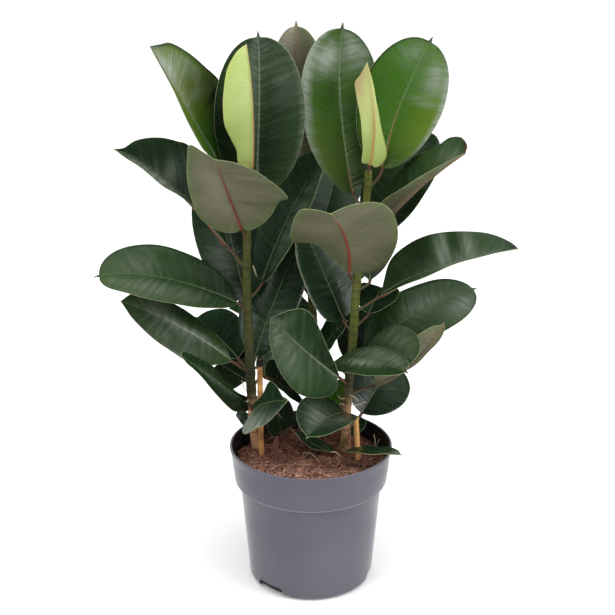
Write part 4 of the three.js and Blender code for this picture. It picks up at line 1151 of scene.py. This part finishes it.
def cut(target, tool):
    modifier = target.modifiers.new("cut", "BOOLEAN")
    modifier.operation = "DIFFERENCE"
    modifier.solver = "EXACT"
    modifier.object = tool
    view = bpy.context.evaluated_depsgraph_get()
    mesh = bpy.data.meshes.new_from_object(target.evaluated_get(view))
    target.modifiers.clear()
    old = target.data
    target.data = mesh
    bpy.data.meshes.remove(old)
    bpy.data.objects.remove(tool)


def notch_tool(degrees):
    side, top = NOTCH_WIDTH / 2, NOTCH_HEIGHT
    outline = [(side, -1), (side - 4, top - 4), (side - 5, top - 2), (side - 7, top - 0.6), (side - 9, top)]
    outline = outline + [(-x, z) for x, z in reversed(outline)]
    turn = math.radians(degrees)
    c, s = math.cos(turn), math.sin(turn)
    points = []
    for radius in (BASE_RADIUS - NOTCH_REACH, BASE_RADIUS + NOTCH_REACH):
        points += [(radius * c - x * s, radius * s + x * c, z) for x, z in outline]
    return cutter(points, ring_faces(2, len(outline)))


def drain_tool(index):
    azimuth = (index + 0.5) * 2 * math.pi / DRAIN_HOLES
    x, y = DRAIN_CIRCLE_RADIUS * math.cos(azimuth), DRAIN_CIRCLE_RADIUS * math.sin(azimuth)
    rings = [point for z in (-5, 8) for point in circle(DRAIN_HOLE_RADIUS, z, DRAIN_SIDES)]
    return cutter([(x + dx, y + dy, z) for dx, dy, z in rings], ring_faces(2, DRAIN_SIDES))


def build_pot():
    pot = lathe("pot_moulded", pot_profile(), POT_SECTORS, [pot_material(), pot_inside_material()], LIP_POINT)
    flip_if_inside_out(pot)
    for degrees in NOTCH_AZIMUTHS:
        cut(pot, notch_tool(degrees))
    for index in range(DRAIN_HOLES):
        cut(pot, drain_tool(index))
    pot.data.polygons.foreach_set("use_smooth", np.full(len(pot.data.polygons), True))
    pot.data.set_sharp_from_angle(angle=math.radians(SHARP_ANGLE))
    stand_for(pot, "pot")


# Soil

def soil_height(x, y):
    from_hollow = math.hypot(x - HOLLOW["x"], y - HOLLOW["y"]) / HOLLOW["radius"]
    hollow = -HOLLOW["depth"] * math.exp(-from_hollow ** 2)
    mounds = 2.4 * math.sin(x / 17 + 0.6) * math.cos(y / 21 - 0.4) + 1.2 * math.sin((x + y) / 8)
    crumbs = 1.6 * noise.noise(Vector((x / 7, y / 7, 3))) + 1.1 * noise.noise(Vector((x / 2.6, y / 2.6, 9)))
    return SOIL_LEVEL + hollow + mounds + crumbs - 0.0003 * (x * x + y * y)


def build_soil():
    points = []
    for ring in range(1, SOIL_RINGS + 1):
        radius = (SOIL_EDGE - 1) * (ring / SOIL_RINGS) ** 0.8
        fall = 3.5 * max(0, (radius - SOIL_EDGE + 8) / 8) ** 2
        for x, y, _ in circle(radius, 0, SOIL_SECTORS):
            points.append((x, y, soil_height(x, y) - fall))
    lower = [
        (SOIL_EDGE, SOIL_LEVEL - 9),
        (COLLAR_FOOT_RADIUS - WALL - SOIL_GAP, COLLAR_FOOT_HEIGHT + 6),
        (BODY_TOP_RADIUS - WALL - SOIL_GAP, COLLAR_FOOT_HEIGHT + 2),
        (BODY_FOOT_RADIUS - WALL - SOIL_GAP, 10),
        (BASE_RADIUS - WALL - SOIL_GAP, 3.35),
    ]
    for radius, z in lower:
        points += circle(radius, z, SOIL_SECTORS)
    faces = ring_faces(SOIL_RINGS + len(lower), SOIL_SECTORS, first_cap=False)
    centre = len(points)
    points.append((0, 0, soil_height(0, 0)))
    for k in range(SOIL_SECTORS):
        faces.append((centre, (k + 1) % SOIL_SECTORS, k))
    made = piece("soil_coir", points, faces, [soil_material()])
    stand_for(made, "soil")


def place_on_soil(rng, reach):
    radius = reach * math.sqrt(rng.random())
    azimuth = rng.uniform(0, 2 * math.pi)
    return radius * math.cos(azimuth), radius * math.sin(azimuth)


def clear_of_stems(x, y):
    feet = [stem["line"][0] for stem in STEMS.values()]
    return all(math.hypot(x - foot[0], y - foot[1]) > STEM_CLEARANCE for foot in feet)


def tone_at(rng, y, pale, painted_front_light, spread, wider):
    """A random tone from 0 to 1, more varied and paler towards the front of the pot; the paling is painted
    light.
    """
    front = min(1, max(0, (10 - y) / 70))
    return min(1, max(0, rng.gauss(pale + painted_front_light * front, spread + wider * front)))


def add_fibre(rng, x, y, points, faces, grain):
    tone = tone_at(rng, y, 0.12, 0.36, 0.14, 0.2)
    warmth = rng.random()
    heading = rng.uniform(0, 2 * math.pi)
    length = rng.uniform(*(FIBRE_LENGTHS if rng.random() < SHORT_SHARE else LONG_FIBRE_LENGTHS))
    thickness = rng.uniform(*FIBRE_RADII)
    turn = rng.uniform(*FIBRE_TURNS)
    lift = rng.uniform(*FIBRE_LIFTS)
    base = len(points)
    for step in range(FIBRE_RINGS):
        u = step / (FIBRE_RINGS - 1)
        if math.hypot(x, y) > SOIL_REACH:
            x, y = x * 0.97, y * 0.97
        arch = lift * math.sin(math.pi * (0.15 + 0.7 * u))
        z = soil_height(x, y) + arch - 0.1 + (1.0 if length > 12 else 0) * u
        for out, up, _ in circle(thickness * (1 - 0.5 * u), 0, 3):
            points.append((x - math.sin(heading) * out, y + math.cos(heading) * out, z + up))
            grain.append((tone, warmth, 0))
        heading += turn * rng.uniform(0.3, 1)
        x += math.cos(heading) * length / (FIBRE_RINGS - 1)
        y += math.sin(heading) * length / (FIBRE_RINGS - 1)
    faces += [tuple(base + k for k in face) for face in ring_faces(FIBRE_RINGS, 3)]


def add_crumb(rng, x, y, points, faces, grain):
    size = rng.uniform(*CRUMB_SIZES)
    tone = tone_at(rng, y, 0.14, 0.2, 0.16, 0)
    warmth = rng.random()
    z = soil_height(x, y) + size * 0.35
    base = len(points)
    for dx, dy, dz in ((1, 0, 0), (-1, 0, 0), (0, 1, 0), (0, -1, 0), (0, 0, 1), (0, 0, -1)):
        stretch = size * rng.uniform(0.5, 1.15)
        points.append((x + dx * stretch, y + dy * stretch, z + dz * stretch * 0.7))
        grain.append((tone, warmth, 0))
    girdle = ((0, 2), (2, 1), (1, 3), (3, 0))
    faces += [(base + a, base + b, base + 4) for a, b in girdle]
    faces += [(base + b, base + a, base + 5) for a, b in girdle]


def build_fibres():
    """Loose curly coir fibres and crumbs over the soil."""
    rng = random.Random(7)
    points, faces, grain = [], [], []
    fibres = 0
    while fibres < FIBRES:
        x, y = place_on_soil(rng, FIBRE_REACH)
        if clear_of_stems(x, y):
            add_fibre(rng, x, y, points, faces, grain)
            fibres += 1
    for _ in range(CRUMBS):
        x, y = place_on_soil(rng, CRUMB_REACH)
        if clear_of_stems(x, y):
            add_crumb(rng, x, y, points, faces, grain)
    made = piece("coir_fibres", points, faces, [fibre_material()], None, {"grain": grain}, smooth=False)
    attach(made, "root")


def build_strands():
    points, faces, grain = [], [], []
    stations = np.linspace(0, 1, STRAND_RINGS)
    for line, radius, tone in STRANDS:
        rings = tube(centripetal(line), stations, radius * (1.1 - 0.8 * stations ** 3), STRAND_SIDES)
        faces += [tuple(len(points) + k for k in face) for face in ring_faces(STRAND_RINGS, STRAND_SIDES)]
        points += list(rings.reshape(-1, 3))
        grain += [(tone, 0, 0)] * STRAND_RINGS * STRAND_SIDES
    made = piece("dry_strands", points, faces, [strand_material()], None, {"grain": grain})
    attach(made, "root")


# Stage, light and camera

def build_stage():
    g = Graph("floor")
    tone = g.noise(g.place(), 0.5, 1)
    material = g.finish(g.mix(tone, (0.90, 0.90, 0.90), (0.92, 0.92, 0.92)), 0.9, Specular_IOR_Level=0.0)
    around = ((-1, -1), (1, -1), (1, 1), (-1, 1))
    corners = [(x * FLOOR_REACH, y * FLOOR_REACH, FLOOR_LEVEL) for x, y in around]
    floor = piece("floor", corners, [(0, 1, 2, 3)], [material])
    floor.visible_glossy = False


def area_light(name, place, target, size, power):
    data = bpy.data.lights.new(name, "AREA")
    data.shape = "RECTANGLE"
    data.size, data.size_y = size
    data.energy = power
    light = bpy.data.objects.new(name, data)
    light.location = place
    light.rotation_euler = (Vector(target) - Vector(place)).to_track_quat("-Z", "Y").to_euler()
    bpy.context.scene.collection.objects.link(light)


def build_light():
    world = bpy.data.worlds.new("studio")
    bpy.context.scene.world = world
    world.use_nodes = True
    g = Graph("studio", world.node_tree)
    height = g.parts(g.add("TexCoord", {}).outputs["Generated"])[2]
    background = world.node_tree.nodes["Background"]
    sky = g.mix(g.ramp(height, 0.35, 0.95), (0.06, 0.06, 0.062), (1.0, 1.0, 1.0))
    sky = g.mix(g.ramp(height, 0.22, 0.40), (0.49, 0.49, 0.49), sky)
    g.feed(background.inputs["Color"], sky)
    g.feed(background.inputs["Strength"], SKY_STRENGTH)
    world.cycles_visibility.glossy = False
    for name, (place, target, size, power) in LIGHTS.items():
        area_light(name, place, target, size, power)


def build_camera():
    data = bpy.data.cameras.new("camera")
    data.sensor_width = CAMERA_SENSOR
    data.lens = CAMERA_LENS
    data.clip_end = 100
    camera = bpy.data.objects.new("camera", data)
    camera.location = CAMERA_PLACE
    camera.rotation_euler = (math.radians(90 - CAMERA_PITCH), 0, 0)
    bpy.context.scene.collection.objects.link(camera)
    bpy.context.scene.camera = camera


build_camera()
build_light()
build_stage()
build_pot()
build_soil()
build_fibres()
build_strands()
build_stems()
build_canes()
build_husks()
build_leaves()
bpy.context.scene.view_settings.view_transform = "Standard"

bpy.context.view_layer.update()
